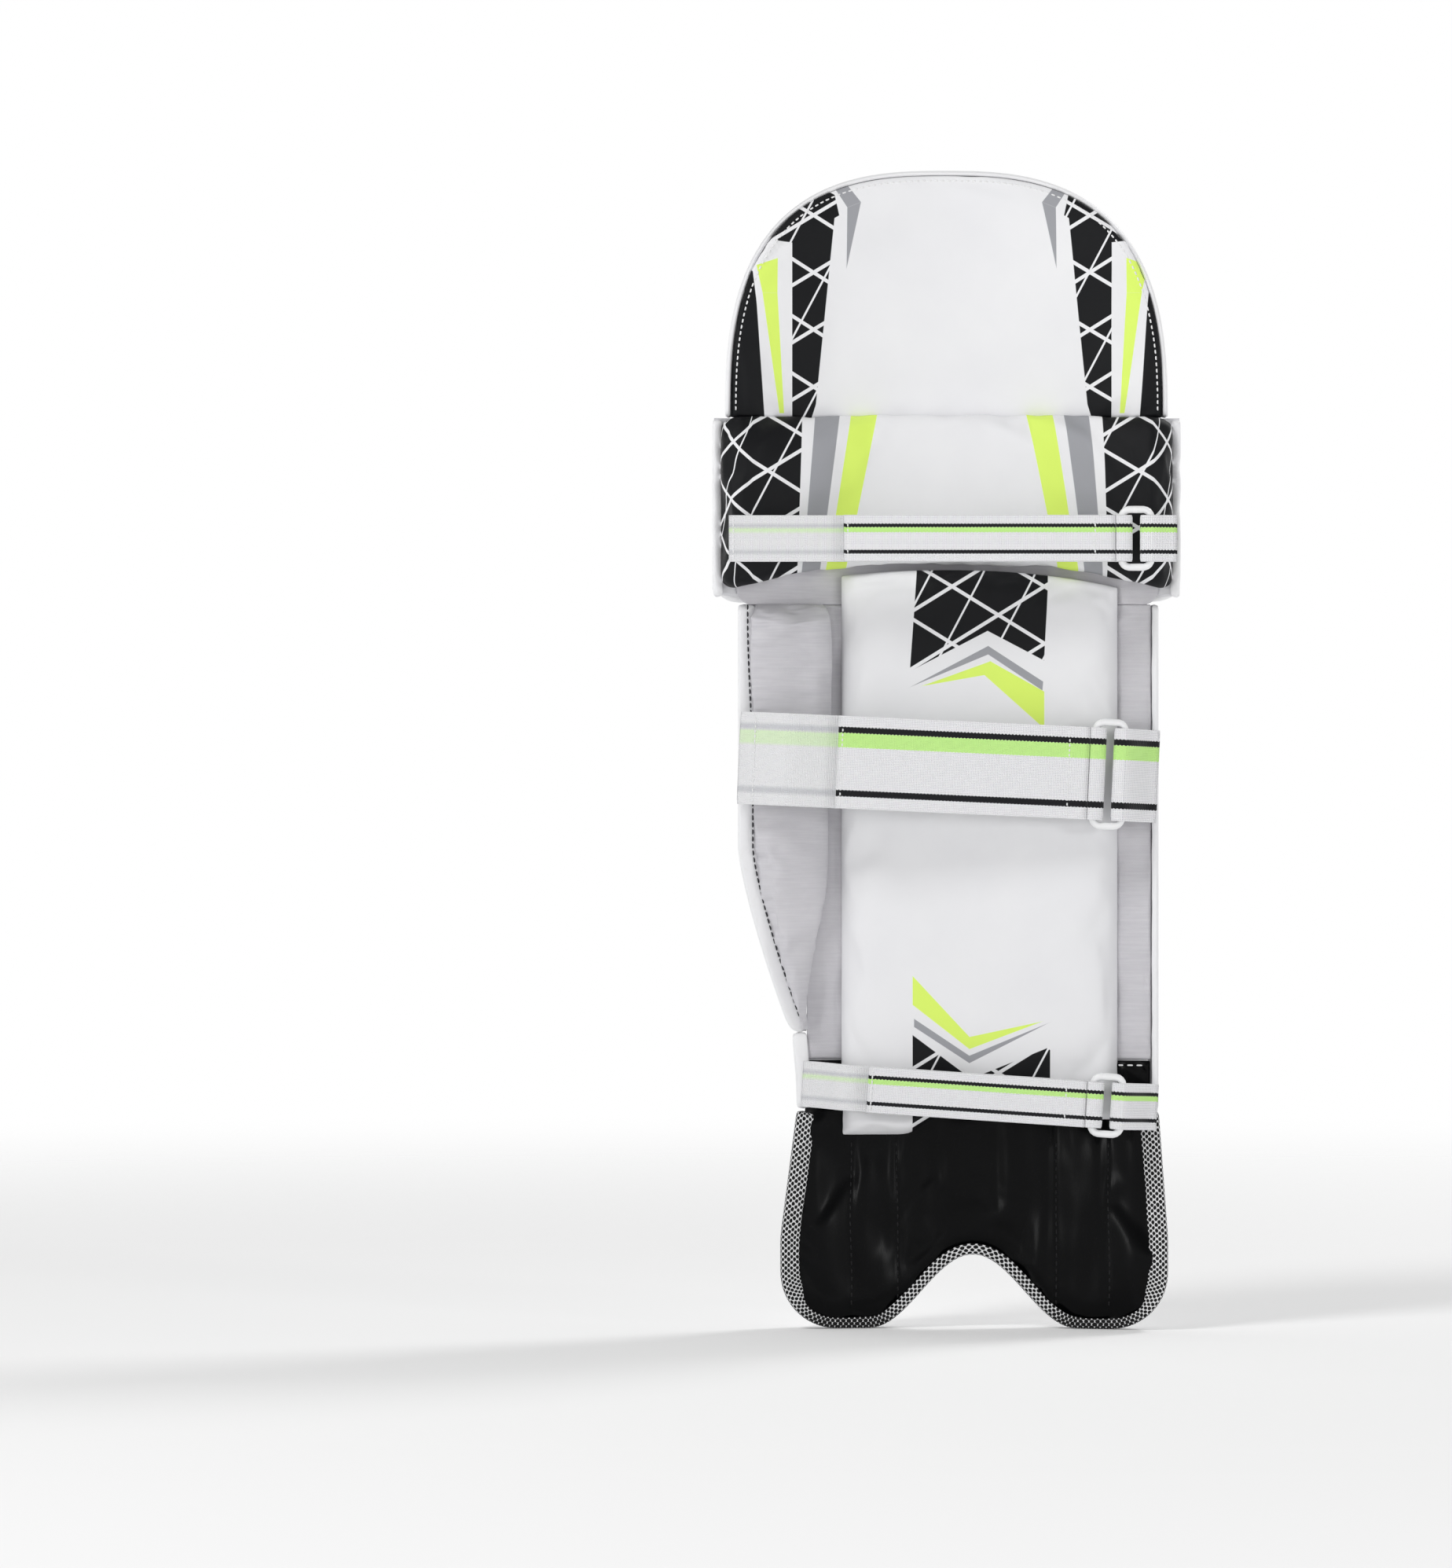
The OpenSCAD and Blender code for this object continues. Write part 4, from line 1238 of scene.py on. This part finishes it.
def satin_drift(seam, z):
    """How far a seam of the satin wanders across the leg, in mm."""
    return 3 * uneven(z, 0, 60, seam)


def instep_lining():
    inner = foot_edge(4.5)
    left = (FOOT_X - FOOT_HALF + LOBE_R - SATIN_CORNER, LOBE_R - SATIN_CORNER)
    right = (FOOT_X + FOOT_HALF - LOBE_R + SATIN_CORNER, LOBE_R - SATIN_CORNER)
    far_lobe = [p for p in reversed(inner) if p[0] < left[0]]
    wing_lobe = [p for p in inner if p[0] > right[0]]
    spot = patch(
        [left, *far_lobe, (SATIN_LEFT, INSTEP_TOP), (SATIN_LEFT, SATIN_TOP)],
        [right, *wing_lobe, (SATIN_RIGHT, INSTEP_TOP), (SATIN_RIGHT, SATIN_TOP)],
        [left, *cut_chain(inner, left[0] + 1, right[0] - 1), right],
        [(SATIN_LEFT, SATIN_TOP), (SATIN_RIGHT, SATIN_TOP)],
    )

    def face(u, v):
        x, z = spot(u, v)
        edge = min(z - spot(u, 0)[1], SATIN_TOP - z, x - spot(0, v)[0], spot(1, v)[0] - x)
        tuck = min(abs(x - seam - satin_drift(seam, z)) for seam in SATIN_SEAMS)
        swell = SATIN_RISE * dome_end(edge, 12) * mix(0.1, 1, dome_end(tuck, 10))
        drape = 1.9 * uneven(x * 1.6, z * 0.3, 18, 2) + 1.2 * uneven(x, z, 26, 3)
        return on_wall(x, z, -7.0 - swell - drape * dome_end(edge, 10))

    def back(u, v):
        x, z = spot(u, v)
        return on_wall(x, z, LINING_FOOT)

    obj = cushion("instep_satin", eased(72), eased(40), face, back)
    stuff(obj, 0.6, 1.2, 0.04)
    return dress(obj, "shin", "black_satin", material("black_satin", black_satin), "instep_lining")


satin = instep_lining()
row = [(mix(-104.0, 76.0, k / 60), SATIN_TOP - 2.5) for k in range(61)]
stitches("satin_hem_stitch", landed(satin, row, -1, 0.1), "shin", WHITE_THREAD, -1, 5.0)
for i, seam in enumerate(SATIN_SEAMS, 1):
    row = [(seam + satin_drift(seam, z), z) for z in range(12, 104, 3)]
    stitches(f"satin_stitch_{i}", landed(satin, row, -1, 0.05), "shin", BLACK_THREAD, -1)

# Foot binding: knitted mesh tape, white threads over black. It is folded over the edge of the foot, wider on
# the back, and sewn on from the far side round both lobes and the notch to the wing side.
HOLE_CELL = (1.55, 1.7)


def mesh_tape(tree):
    """An open knit: black holes 3.1 mm apart in staggered rows 1.7 mm apart, with white threads between them.
    The holes are drawn coarser than they are, so that they show in the render."""
    half, row = HOLE_CELL
    strip = add(tree, "ShaderNodeUVMap", {}, uv_map="strip")["UV"]
    large = add(tree, "ShaderNodeVectorMath", {0: strip, 1: (1000, 1000, 1000)}, operation="MULTIPLY")[0]
    wobble = add(tree, "ShaderNodeTexNoise", {"Vector": large, "Scale": 0.35, "Detail": 2.0})["Color"]
    shifted = add(
        tree,
        "ShaderNodeVectorMath",
        {0: wobble, 1: (1.1, 1.1, 0), 2: large},
        operation="MULTIPLY_ADD",
    )[0]
    hole = None
    for shift in ((0, 0, 0), (half, row, 0)):
        place = add(tree, "ShaderNodeVectorMath", {0: shifted, 1: shift}, operation="ADD")[0]
        cell = add(
            tree,
            "ShaderNodeVectorMath",
            {0: place, 1: (half, row, 1), 2: (-half, -row, -1)},
            operation="WRAP",
        )[0]
        cell = add(tree, "ShaderNodeVectorMath", {0: cell, 1: (0.85, 1.0, 0.0)}, operation="MULTIPLY")[0]
        far = add(tree, "ShaderNodeVectorMath", {0: cell}, operation="LENGTH")["Value"]
        if hole is None:
            hole = far
        else:
            hole = add(tree, "ShaderNodeMath", {0: hole, 1: far}, operation="MINIMUM")[0]
    # Within 12 mm of the tape's bottom edge the holes open wider, so the tape shows darker towards its
    # bottom.
    height = add(tree, "ShaderNodeTexCoord", {})["Object"]
    height = add(tree, "ShaderNodeSeparateXYZ", {0: height})["Z"]
    holes_wider_low = add(
        tree,
        "ShaderNodeMapRange",
        {"Value": height, "From Min": 0.002, "From Max": 0.012, "To Min": 0.22, "To Max": 0.0},
    )["Result"]
    inner = add(tree, "ShaderNodeMath", {0: hole, 1: holes_wider_low}, operation="SUBTRACT")[0]
    thread = add(tree, "ShaderNodeMapRange", {"Value": inner, "From Min": 0.82, "From Max": 0.96})["Result"]
    strands = add(tree, "ShaderNodeTexNoise", {"Vector": large, "Scale": 4.0, "Detail": 2.0})["Fac"]
    whites = {0: strands, 6: linear("CFCFD2"), 7: linear("FAFAFA")}
    white = add(tree, "ShaderNodeMix", whites, data_type="RGBA")[2]
    colour = add(tree, "ShaderNodeMix", {0: thread, 6: linear("050506"), 7: white}, data_type="RGBA")[2]
    raised = add(tree, "ShaderNodeMath", {0: strands, 1: 0.3, 2: thread}, operation="MULTIPLY_ADD")[0]
    fine = add(tree, "ShaderNodeBump", {"Strength": 0.8, "Distance": 0.0006, "Height": raised})["Normal"]
    return {"Base Color": colour, "Roughness": 0.7, "Normal": fine, "Specular IOR Level": 0.3}


def foot_binding():
    path = spread([(FAR_EDGE, INSTEP_TOP), *foot_edge(0.0), (NEAR_EDGE, INSTEP_TOP)], 4)

    def ring(t):
        x, z = path[round(t * (len(path) - 1))]
        notch = ramp(abs(x - FOOT_X), 62, 50)
        low = ramp(z, 20, 6)
        wide = mix(mix(10.5, 6.0, low), 6.4, notch)
        return folded(5.4 + 0.4 * uneven(x, z, 12, 1), wide + 0.6 * uneven(x, z, 14, 2), 1.9, -10.3)

    obj = sweep("foot_tape", path, ring)
    refine(obj, 1)
    return dress(obj, "shin", "mesh_binding", material("mesh_tape", mesh_tape), "foot_binding")


foot_binding()

# Straps: woven polyester webbing. Each is sewn down at the wing side, runs across the back, turns round the
# bar of its ring and comes back as a tail. Its reverse, which shows beyond the tail, is faded.
TWILL_TURN = 3.4


def webbing(lines, faded):
    """The dress of a webbing. lines lists the (low, high) mm of its two dark lines and of its lime line.
    The twill is drawn about 1.8 mm apart, coarser than it is, so that it shows in the render."""

    def dress_web(tree):
        strip = add(tree, "ShaderNodeUVMap", {}, uv_map="strip")["UV"]
        large = add(tree, "ShaderNodeVectorMath", {0: strip, 1: (1000, 1000, 1000)}, operation="MULTIPLY")[0]
        parts = add(tree, "ShaderNodeSeparateXYZ", {0: large})
        run, across = parts["X"], parts["Y"]
        ribs = []
        for tilt in (1.0, -1.0):
            lap = add(tree, "ShaderNodeMath", {0: across, 1: tilt, 2: run}, operation="MULTIPLY_ADD")[0]
            lap = add(tree, "ShaderNodeMath", {0: lap, 1: TWILL_TURN}, operation="MULTIPLY")[0]
            ribs.append(add(tree, "ShaderNodeMath", {0: lap}, operation="SINE")[0])
        twill = add(tree, "ShaderNodeMath", {0: ribs[0], 1: ribs[1]}, operation="MULTIPLY")[0]
        dots = add(tree, "ShaderNodeMapRange", {"Value": twill, "From Min": 0.3, "From Max": 0.95})["Result"]
        ground = linear("F1F1F3") if faded else linear("FAFAFC")
        shade = linear("E2E3E5") if faded else linear("BDBCC5")
        colour = add(tree, "ShaderNodeMix", {0: dots, 6: ground, 7: shade}, data_type="RGBA")[2]
        inks = ("D3D4D8", "D3D4D8", "E3F6D2") if faded else ("0E0F14", "0E0F14", "CDFC96")
        tooth = add(tree, "ShaderNodeMath", {0: run, 1: TWILL_TURN}, operation="MULTIPLY")[0]
        tooth = add(tree, "ShaderNodeMath", {0: tooth}, operation="SINE")[0]
        soft = 0.9 if faded else 0.12
        for (low, high), ink in reversed(list(zip(lines, inks))):
            wave = add(tree, "ShaderNodeMath", {0: tooth, 1: 0.2, 2: across}, operation="MULTIPLY_ADD")[0]
            off = add(tree, "ShaderNodeMath", {0: wave, 1: (low + high) / 2}, operation="SUBTRACT")[0]
            off = add(tree, "ShaderNodeMath", {0: off}, operation="ABSOLUTE")[0]
            half = (high - low) / 2
            mask = add(
                tree,
                "ShaderNodeMapRange",
                {"Value": off, "From Min": half + soft, "From Max": half - soft},
            )["Result"]
            colour = add(tree, "ShaderNodeMix", {0: mask, 6: colour, 7: linear(ink)}, data_type="RGBA")[2]
        fine = add(tree, "ShaderNodeBump", {"Strength": 0.6, "Distance": 0.0004, "Height": twill})["Normal"]
        nap = {"Sheen Weight": 0.1, "Specular IOR Level": 0.3}
        return {"Base Color": colour, "Roughness": 0.75, "Normal": fine, **nap}

    return dress_web


NARROW = 25
WIDE = 50
WEBS = {}
for web, name, lines in (
    (NARROW, "narrow", [(5.9, 7.8), (-8.3, -6.3), (3.2, 5.9)]),
    (WIDE, "wide", [(15.8, 19.0), (-18.4, -15.0), (8.0, 15.8)]),
):
    right_side = material(name + "_webbing", webbing(lines, False))
    reverse = material(name + "_reverse", webbing(lines, True))
    WEBS[web] = (right_side, reverse)


def strap_axes(tab, sewn):
    """The strap's directions: along it to its sewn end, away from the pad, and across its width."""
    span = sewn - tab
    run = span.normalized()
    away = Vector((-span.y, span.x, 0)).normalized()
    return run, away, run.cross(away)


def smooth_path(points, step):
    """A chain of points, resampled about every step mm on a rounded curve through them."""
    even = spread(points, step)
    for _ in range(2):
        inner = []
        for a, b, c in zip(even, even[1:], even[2:]):
            inner.append(tuple((p + 2 * q + r) / 4 for p, q, r in zip(a, b, c)))
        even = [even[0], *inner, even[-1]]
    return even


WEB_CUTS = [-1.0, -0.97, -0.9, -0.6, -0.3, 0.0, 0.3, 0.6, 0.9, 0.97, 1.0]
WEB_POINTS = 2 * len(WEB_CUTS)


def ribbon(name, strap, path, thick=1.6, trim=0.0):
    """Webbing along a path of (along, away) points in the strap's frame, with thinner woven edges."""
    run, away, across = strap_axes(strap["tab"], strap["sewn"])
    half = strap["web"] / 2 - trim
    points = []
    places = []
    for (a, b), (walked, na, nb) in zip(path, strides(path)):
        for side in (1, -1):
            for c in WEB_CUTS[::side]:
                t = side * thick / 2 * (1 - 0.45 * ramp(abs(c), 0.88, 1.0))
                spot = run * (a + na * t) + away * (b + nb * t) + across * (c * half)
                points.append((strap["tab"] + spot) * MM)
                places.append((walked * MM, c * half * MM))
    faces = tube_faces(0, len(path), WEB_POINTS)
    for start in (0, (len(path) - 1) * WEB_POINTS):
        last = start + WEB_POINTS - 1
        for j in range(len(WEB_CUTS) - 1):
            faces.append((start + j, start + j + 1, last - 1 - j, last - j))
    obj = link_mesh(name, points, faces)
    map_strip(obj, places)
    return obj


def bend(centre, wide, high, start, end, steps=12):
    """Points on an arc in the strap's frame, wide and high from its centre, between two angles in degrees."""
    angles = [math.radians(mix(start, end, k / steps)) for k in range(steps + 1)]
    return [(centre[0] + wide * math.cos(a), centre[1] + high * math.sin(a)) for a in angles]


WEB_UP = 0.8
RING_HALF = 8.0
BAR_UP = 3.7
TAIL_UP = 5.8
TAIL_GAP = 3.3
BEND_WIDE = 5.2
BEND_HIGH = 2.9
BOLSTER_BACK_R = 289.85
FAR_TAB_Y = arc_y(112, 310.85) + WEB_UP


def strap_set(name, body, tab, sewn, web, lift, ring_in, tail, hem):
    """hem lists the (beyond, away) points of the sewn end, from its tip."""
    tab = Vector(tab)
    sewn = Vector(sewn)
    bars = (ring_in - RING_HALF, ring_in + RING_HALF)
    return {
        "name": name,
        "body": body,
        "tab": tab,
        "sewn": sewn,
        "length": (sewn - tab).length,
        "web": web,
        "lift": lift,
        "bars": bars,
        "tail_start": bars[1] + TAIL_GAP,
        "tail": tail,
        "hem": hem,
    }


def sewn_on(x, z, r):
    """The middle of a webbing's end that is sewn to a face of radius r."""
    return (x, arc_y(x, r) + WEB_UP, z)


STRAPS = [
    strap_set(
        name="knee",
        body="knee",
        tab=sewn_on(-120, 428, BOLSTER_BACK_R),
        sewn=sewn_on(121, 428, BOLSTER_BACK_R),
        web=NARROW,
        lift=0,
        ring_in=22,
        tail=146,
        hem=[(0.0, 0.8), (-5.0, 0.9)],
    ),
    strap_set(
        name="calf",
        body="shin",
        tab=(-111, FAR_TAB_Y, 300),
        sewn=sewn_on(110, 310, 296.85),
        web=WIDE,
        lift=10,
        ring_in=28,
        tail=136,
        hem=[(4.4, -8.0), (4.2, -4.0), (2.0, -0.2), (-5.0, 0.9)],
    ),
    strap_set(
        name="ankle",
        body="shin",
        tab=(-111, FAR_TAB_Y, 121),
        sewn=sewn_on(76, 133, 311.85),
        web=NARROW,
        lift=14,
        ring_in=27,
        tail=118,
        hem=[(5.0, 2.7), (-4.0, 2.7)],
    ),
]


def strap_run(strap):
    end = strap["length"]
    lift = strap["lift"]
    bar = strap["bars"][1]
    hem = [(end + a, b) for a, b in strap["hem"]]
    rise = [(end - 18, lift + 0.7), (end - 24, lift + WEB_UP), (bar + 1, lift + WEB_UP)]
    path = smooth_path(hem + rise, 3)
    flat = len(path)
    path += bend((bar, lift + BAR_UP), BEND_WIDE, BEND_HIGH, -90, -270)
    path += [(bar + 1.6, lift + TAIL_UP + WEB_UP), (bar + 3.0, lift + TAIL_UP + WEB_UP)]
    obj = ribbon(strap["name"] + "_run", strap, path)
    body = None if strap["name"] == "calf" else strap["body"]
    right_side, reverse = WEBS[strap["web"]]
    dress(obj, body, "webbing", reverse, strap["name"] + "_strap")
    obj.data.materials.append(right_side)
    for polygon in obj.data.polygons:
        if min(polygon.vertices) >= flat * WEB_POINTS:
            polygon.material_index = 1
    if body is None:
        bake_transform(obj)


def strap_tail(strap):
    path = []
    for k in range(41):
        along_tail = strap["tail"] * k / 40
        wave = 0.35 * math.sin(along_tail / 21) * ramp(along_tail, 0, 20)
        path.append((strap["tail_start"] + along_tail, strap["lift"] + TAIL_UP + WEB_UP + wave))
    obj = ribbon(strap["name"] + "_strap_tail", strap, path)
    return dress(obj, strap["name"] + "_tail", "webbing", WEBS[strap["web"]][0], strap["name"] + "_tail")


def strap_tab(strap):
    lift = strap["lift"]
    bar = strap["bars"][0]
    upper = lift + TAIL_UP
    path = smooth_path([(0, WEB_UP), (4, 0.9), (bar - 2, lift + 0.7), (bar, lift + WEB_UP)], 3)
    path += bend((bar, lift + BAR_UP), BEND_WIDE, BEND_HIGH, -90, 90)
    path += smooth_path([(bar, upper + WEB_UP), (bar - 2, upper + 0.6), (4, 2.6), (0, 2.5)], 3)
    obj = ribbon(strap["name"] + "_ring_tab", strap, path)
    return dress(obj, strap["body"], "webbing", WEBS[strap["web"]][0], strap["name"] + "_tab")


def tack(name, strap, spot, up, body):
    """A row of stitches across the webbing, spot mm along the strap and up mm over its base."""
    run, away, across = strap_axes(strap["tab"], strap["sewn"])
    half = strap["web"] / 2 - 1.2
    base = strap["tab"] + run * spot + away * up
    row = [(base + across * mix(-half, half, k / 12)) * MM for k in range(13)]
    stitches(strap["name"] + name, row, body, WHITE_THREAD, -1, 2.6, 0.4)


for strap in STRAPS:
    strap_run(strap)
    strap_tail(strap)
    strap_tab(strap)
    start = strap["tail_start"]
    top = strap["lift"] + TAIL_UP + 1.7
    tail_body = strap["name"] + "_tail"
    tack("_tip_tack", strap, start + strap["tail"] - 2.2, top, tail_body)
    tack("_fold_tack", strap, start + 11, top, tail_body)
    tack("_tab_tack", strap, 4.5, 3.5, strap["body"])
    sewn_body = "wing" if strap["name"] == "calf" else strap["body"]
    tack("_sewn_tack", strap, strap["length"] - 2.5, strap["hem"][-1][1] + 0.9, sewn_body)

# Rings: loops of white nylon, moulded with rounded corners and a round section. Each is held by the tab round
# one bar, and the strap turns round the other.
RING_R = 1.95
RING_TURN = 4.5
RING_SIDES = 12


def moulded_plastic(tree):
    """Glossy nylon with faint flow marks."""
    spot = add(tree, "ShaderNodeTexCoord", {})["Object"]
    flow = add(tree, "ShaderNodeTexNoise", {"Vector": spot, "Scale": 120.0, "Detail": 3.0})["Fac"]
    gloss = add(tree, "ShaderNodeMapRange", {"Value": flow, "To Min": 0.18, "To Max": 0.34})["Result"]
    whites = {0: flow, 6: linear("EDEEF0"), 7: linear("F8F8F8")}
    tone = add(tree, "ShaderNodeMix", whites, data_type="RGBA")[2]
    fine = add(tree, "ShaderNodeBump", {"Strength": 0.08, "Distance": 0.0003, "Height": flow})["Normal"]
    depth = {"Subsurface Weight": 0.1, "Subsurface Radius": (0.002,) * 3}
    return {"Base Color": tone, "Roughness": gloss, "Normal": fine, **depth}


PLASTIC = material("white_nylon", moulded_plastic)


def ring(strap):
    run, away, across = strap_axes(strap["tab"], strap["sewn"])
    middle = strap["tab"] + run * sum(strap["bars"]) / 2 + away * (strap["lift"] + BAR_UP)
    tall = strap["web"] / 2 + 3.0
    loop = []
    for k, (sa, sc) in enumerate(((1, 1), (-1, 1), (-1, -1), (1, -1))):
        corner = (sa * (RING_HALF - RING_TURN), sc * (tall - RING_TURN))
        loop += bend(corner, RING_TURN, RING_TURN, 90 * k, 90 * k + 90, 8)
    loop = spread([*loop, loop[0]], 1.6)[:-1]
    points = []
    for k, (a, c) in enumerate(loop):
        p, q = loop[k - 1], loop[(k + 1) % len(loop)]
        size = math.dist(p, q)
        na, nc = (q[1] - p[1]) / size, -(q[0] - p[0]) / size
        for j in range(RING_SIDES):
            angle = math.tau * j / RING_SIDES
            out = RING_R * math.cos(angle)
            up = RING_R * math.sin(angle)
            spot = run * (a + na * out) + across * (c + nc * out) + away * up
            points.append((middle + spot) * MM)
    faces = []
    for face in tube_faces(0, len(loop) + 1, RING_SIDES):
        faces.append([i % len(points) for i in face])
    obj = link_mesh(strap["name"] + "_loop_ring", points, faces)
    return dress(obj, strap["body"], "ring_plastic", PLASTIC, strap["name"] + "_ring")


for strap in STRAPS:
    ring(strap)

# Hook and loop: patches of napped nylon tape, hooks sewn under each tail and loops on the strap below it.
# They hold the tail where it is pulled to.
PATCH_THICK = 1.8
PATCH_TRIM = 1.6


def pile(deep, spread_mm):
    """The dress of a napped patch, whose hooks or loops are about spread_mm apart."""

    def dress_pile(tree):
        spot = add(tree, "ShaderNodeTexCoord", {})["Object"]
        tufts = add(tree, "ShaderNodeTexVoronoi", {"Vector": spot, "Scale": 1000.0 / spread_mm})["Distance"]
        fuzz = add(tree, "ShaderNodeTexNoise", {"Vector": spot, "Scale": 2400.0, "Detail": 3.0})["Fac"]
        whites = {0: tufts, 6: linear("F1F1F1"), 7: linear(deep)}
        tone = add(tree, "ShaderNodeMix", whites, data_type="RGBA")[2]
        nap = add(tree, "ShaderNodeMath", {0: fuzz, 1: 0.6, 2: tufts}, operation="MULTIPLY_ADD")[0]
        fine = add(tree, "ShaderNodeBump", {"Strength": 0.9, "Distance": 0.0006, "Height": nap})["Normal"]
        return {"Base Color": tone, "Roughness": 0.9, "Normal": fine, "Sheen Weight": 0.3}

    return dress_pile


HOOKS = material("hook_tape", pile("A9AAAD", 1.4))
LOOPS = material("loop_tape", pile("C4C5C8", 0.9))
for strap in STRAPS:
    lift = strap["lift"]
    tip = strap["tail_start"] + strap["tail"]
    hooks = [(tip - 51.6 + 5 * k, lift + 4.85) for k in range(11)]
    loops = [(tip - 90 + 5 * k, lift + 2.6) for k in range(19)]
    hook = ribbon(strap["name"] + "_hooks", strap, hooks, PATCH_THICK, PATCH_TRIM)
    dress(hook, strap["name"] + "_tail", "hook_and_loop", HOOKS, strap["name"] + "_hook_patch")
    loop = ribbon(strap["name"] + "_loops", strap, loops, PATCH_THICK, PATCH_TRIM)
    dress(loop, strap["body"], "hook_and_loop", LOOPS, strap["name"] + "_loop_patch")

# Backing foam and canes: sheets of closed-cell foam laminated with white cloth, and split cane rods. They
# show only at edges and in the gaps between the covers.
def laminated_foam(tree):
    """Fine cells about 1 mm across under a thin white knit."""
    spot = add(tree, "ShaderNodeTexCoord", {})["Object"]
    cells = add(tree, "ShaderNodeTexVoronoi", {"Vector": spot, "Scale": 1000.0})["Distance"]
    clouds = add(tree, "ShaderNodeTexNoise", {"Vector": spot, "Scale": 30.0, "Detail": 3.0})["Fac"]
    whites = {0: clouds, 6: linear("D2D2D6"), 7: linear("E6E6E8")}
    tone = add(tree, "ShaderNodeMix", whites, data_type="RGBA")[2]
    fine = add(tree, "ShaderNodeBump", {"Strength": 0.3, "Distance": 0.0003, "Height": cells})["Normal"]
    return {"Base Color": tone, "Roughness": 0.85, "Normal": fine, "Specular IOR Level": 0.2}


def split_cane(tree):
    """Pale cane with long dark fibres about 0.5 mm apart."""
    spot = add(tree, "ShaderNodeTexCoord", {})["Object"]
    long_spot = add(tree, "ShaderNodeVectorMath", {0: spot, 1: (2000, 2000, 40)}, operation="MULTIPLY")[0]
    fibres = add(tree, "ShaderNodeTexNoise", {"Vector": long_spot, "Scale": 1.0, "Detail": 3.0})["Fac"]
    canes = {0: fibres, 6: linear("B98F55"), 7: linear("E2C48D")}
    tone = add(tree, "ShaderNodeMix", canes, data_type="RGBA")[2]
    fine = add(tree, "ShaderNodeBump", {"Strength": 0.4, "Distance": 0.0003, "Height": fibres})["Normal"]
    return {"Base Color": tone, "Roughness": 0.55, "Normal": fine}


FOAM = material("laminated_foam", laminated_foam)
CANE = material("split_cane", split_cane)
for name, finish in (("shin_base", FOAM), ("knee_base", FOAM), ("top_base", FOAM), ("cane_rods", CANE)):
    nodes[name].data.materials.clear()
    nodes[name].data.materials.append(finish)

# Stage: a pale floor that the pad stands on and that fades out, a camera square to the back of the pad, and
# soft studio light.
FLOOR_SIDES = 48
FLOOR_RADII = (0.5, 1.0, 2.0, 3.0)


def floor_sheet():
    turns = [math.tau * k / FLOOR_SIDES for k in range(FLOOR_SIDES)]
    points = [(r * math.cos(a), r * math.sin(a), 0) for r in FLOOR_RADII for a in turns]
    middle = len(points)
    points.append((0, 0, 0))
    faces = tube_faces(0, len(FLOOR_RADII), FLOOR_SIDES)
    for k in range(FLOOR_SIDES):
        faces.append((middle, k, (k + 1) % FLOOR_SIDES))
    return link_mesh("floor", points, faces)


def pale_floor(tree):
    """Matt white paper with a little light of its own, which fades out away from the pad."""
    spot = add(tree, "ShaderNodeTexCoord", {})["Object"]
    far = add(tree, "ShaderNodeVectorMath", {0: spot}, operation="LENGTH")["Value"]
    fade = add(
        tree,
        "ShaderNodeMapRange",
        {"Value": far, "From Min": 2.6, "From Max": 0.4},
        interpolation_type="SMOOTHSTEP",
    )["Result"]
    glow = {"Emission Color": linear("FFFFFF"), "Emission Strength": 0.12}
    matt = {"Roughness": 1.0, "Specular IOR Level": 0.0}
    return {"Base Color": linear("FAFAFA"), "Alpha": fade, **matt, **glow}


floor = floor_sheet()
floor.data.materials.append(material("pale_floor", pale_floor))
floor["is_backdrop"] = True


def lamp(name, size, power, spot, aim):
    light = bpy.data.lights.new(name, "AREA")
    light.shape = "DISK"
    light.size = size
    light.energy = power
    obj = bpy.data.objects.new(name, light)
    obj.location = spot
    obj.rotation_euler = (Vector(aim) - Vector(spot)).to_track_quat("-Z", "Y").to_euler()
    scene.collection.objects.link(obj)
    obj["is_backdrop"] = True


lamp("back_key", 0.9, 30, (1.5, 1.6, 2.5), (0, 0, 0.35))
lamp("back_left", 0.4, 6, (1.8, 2.3, 0.5), (0, 0, 0.3))
lamp("back_right", 0.4, 7, (-2.0, 2.0, 0.6), (0, 0, 0.3))
lamp("front_key", 0.9, 28, (-1.6, -1.5, 2.5), (0, 0, 0.35))
lamp("front_left", 0.4, 4, (-2.4, -1.4, 0.6), (0, 0, 0.3))
lamp("front_right", 0.4, 3, (2.0, -2.0, 0.6), (0, 0, 0.3))
world = bpy.data.worlds.new("studio")
world.use_nodes = True
sky = world.node_tree
upward = add(sky, "ShaderNodeSeparateXYZ", {0: add(sky, "ShaderNodeTexCoord", {})["Generated"]})["Z"]
above = add(
    sky,
    "ShaderNodeMapRange",
    {"Value": upward, "From Min": 0.11, "From Max": 0.35, "To Min": 1.0, "To Max": 0.3},
    interpolation_type="SMOOTHSTEP",
)["Result"]
below = add(
    sky,
    "ShaderNodeMapRange",
    {"Value": upward, "From Min": -0.14, "From Max": -0.5, "To Min": 1.0, "To Max": 0.75},
    interpolation_type="SMOOTHSTEP",
)["Result"]
shade = add(sky, "ShaderNodeMath", {0: above, 1: below}, operation="MINIMUM")[0]
sky.links.new(shade, sky.nodes["Background"].inputs["Color"])
scene.world = world
scene.view_settings.view_transform = "Standard"

FILM = 36.0
VIEW_FAR = 4.0
VIEW_WIDE = 0.849
camera = bpy.data.objects.new("camera", bpy.data.cameras.new("camera"))
camera.data.sensor_width = FILM
camera.data.lens = FILM * VIEW_FAR / VIEW_WIDE
camera.data.clip_end = 50.0
camera.location = (0.1225, 4.03, 0.296)
camera.rotation_euler = (math.pi / 2, 0, math.pi)
scene.collection.objects.link(camera)
scene.camera = camera

low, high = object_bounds()
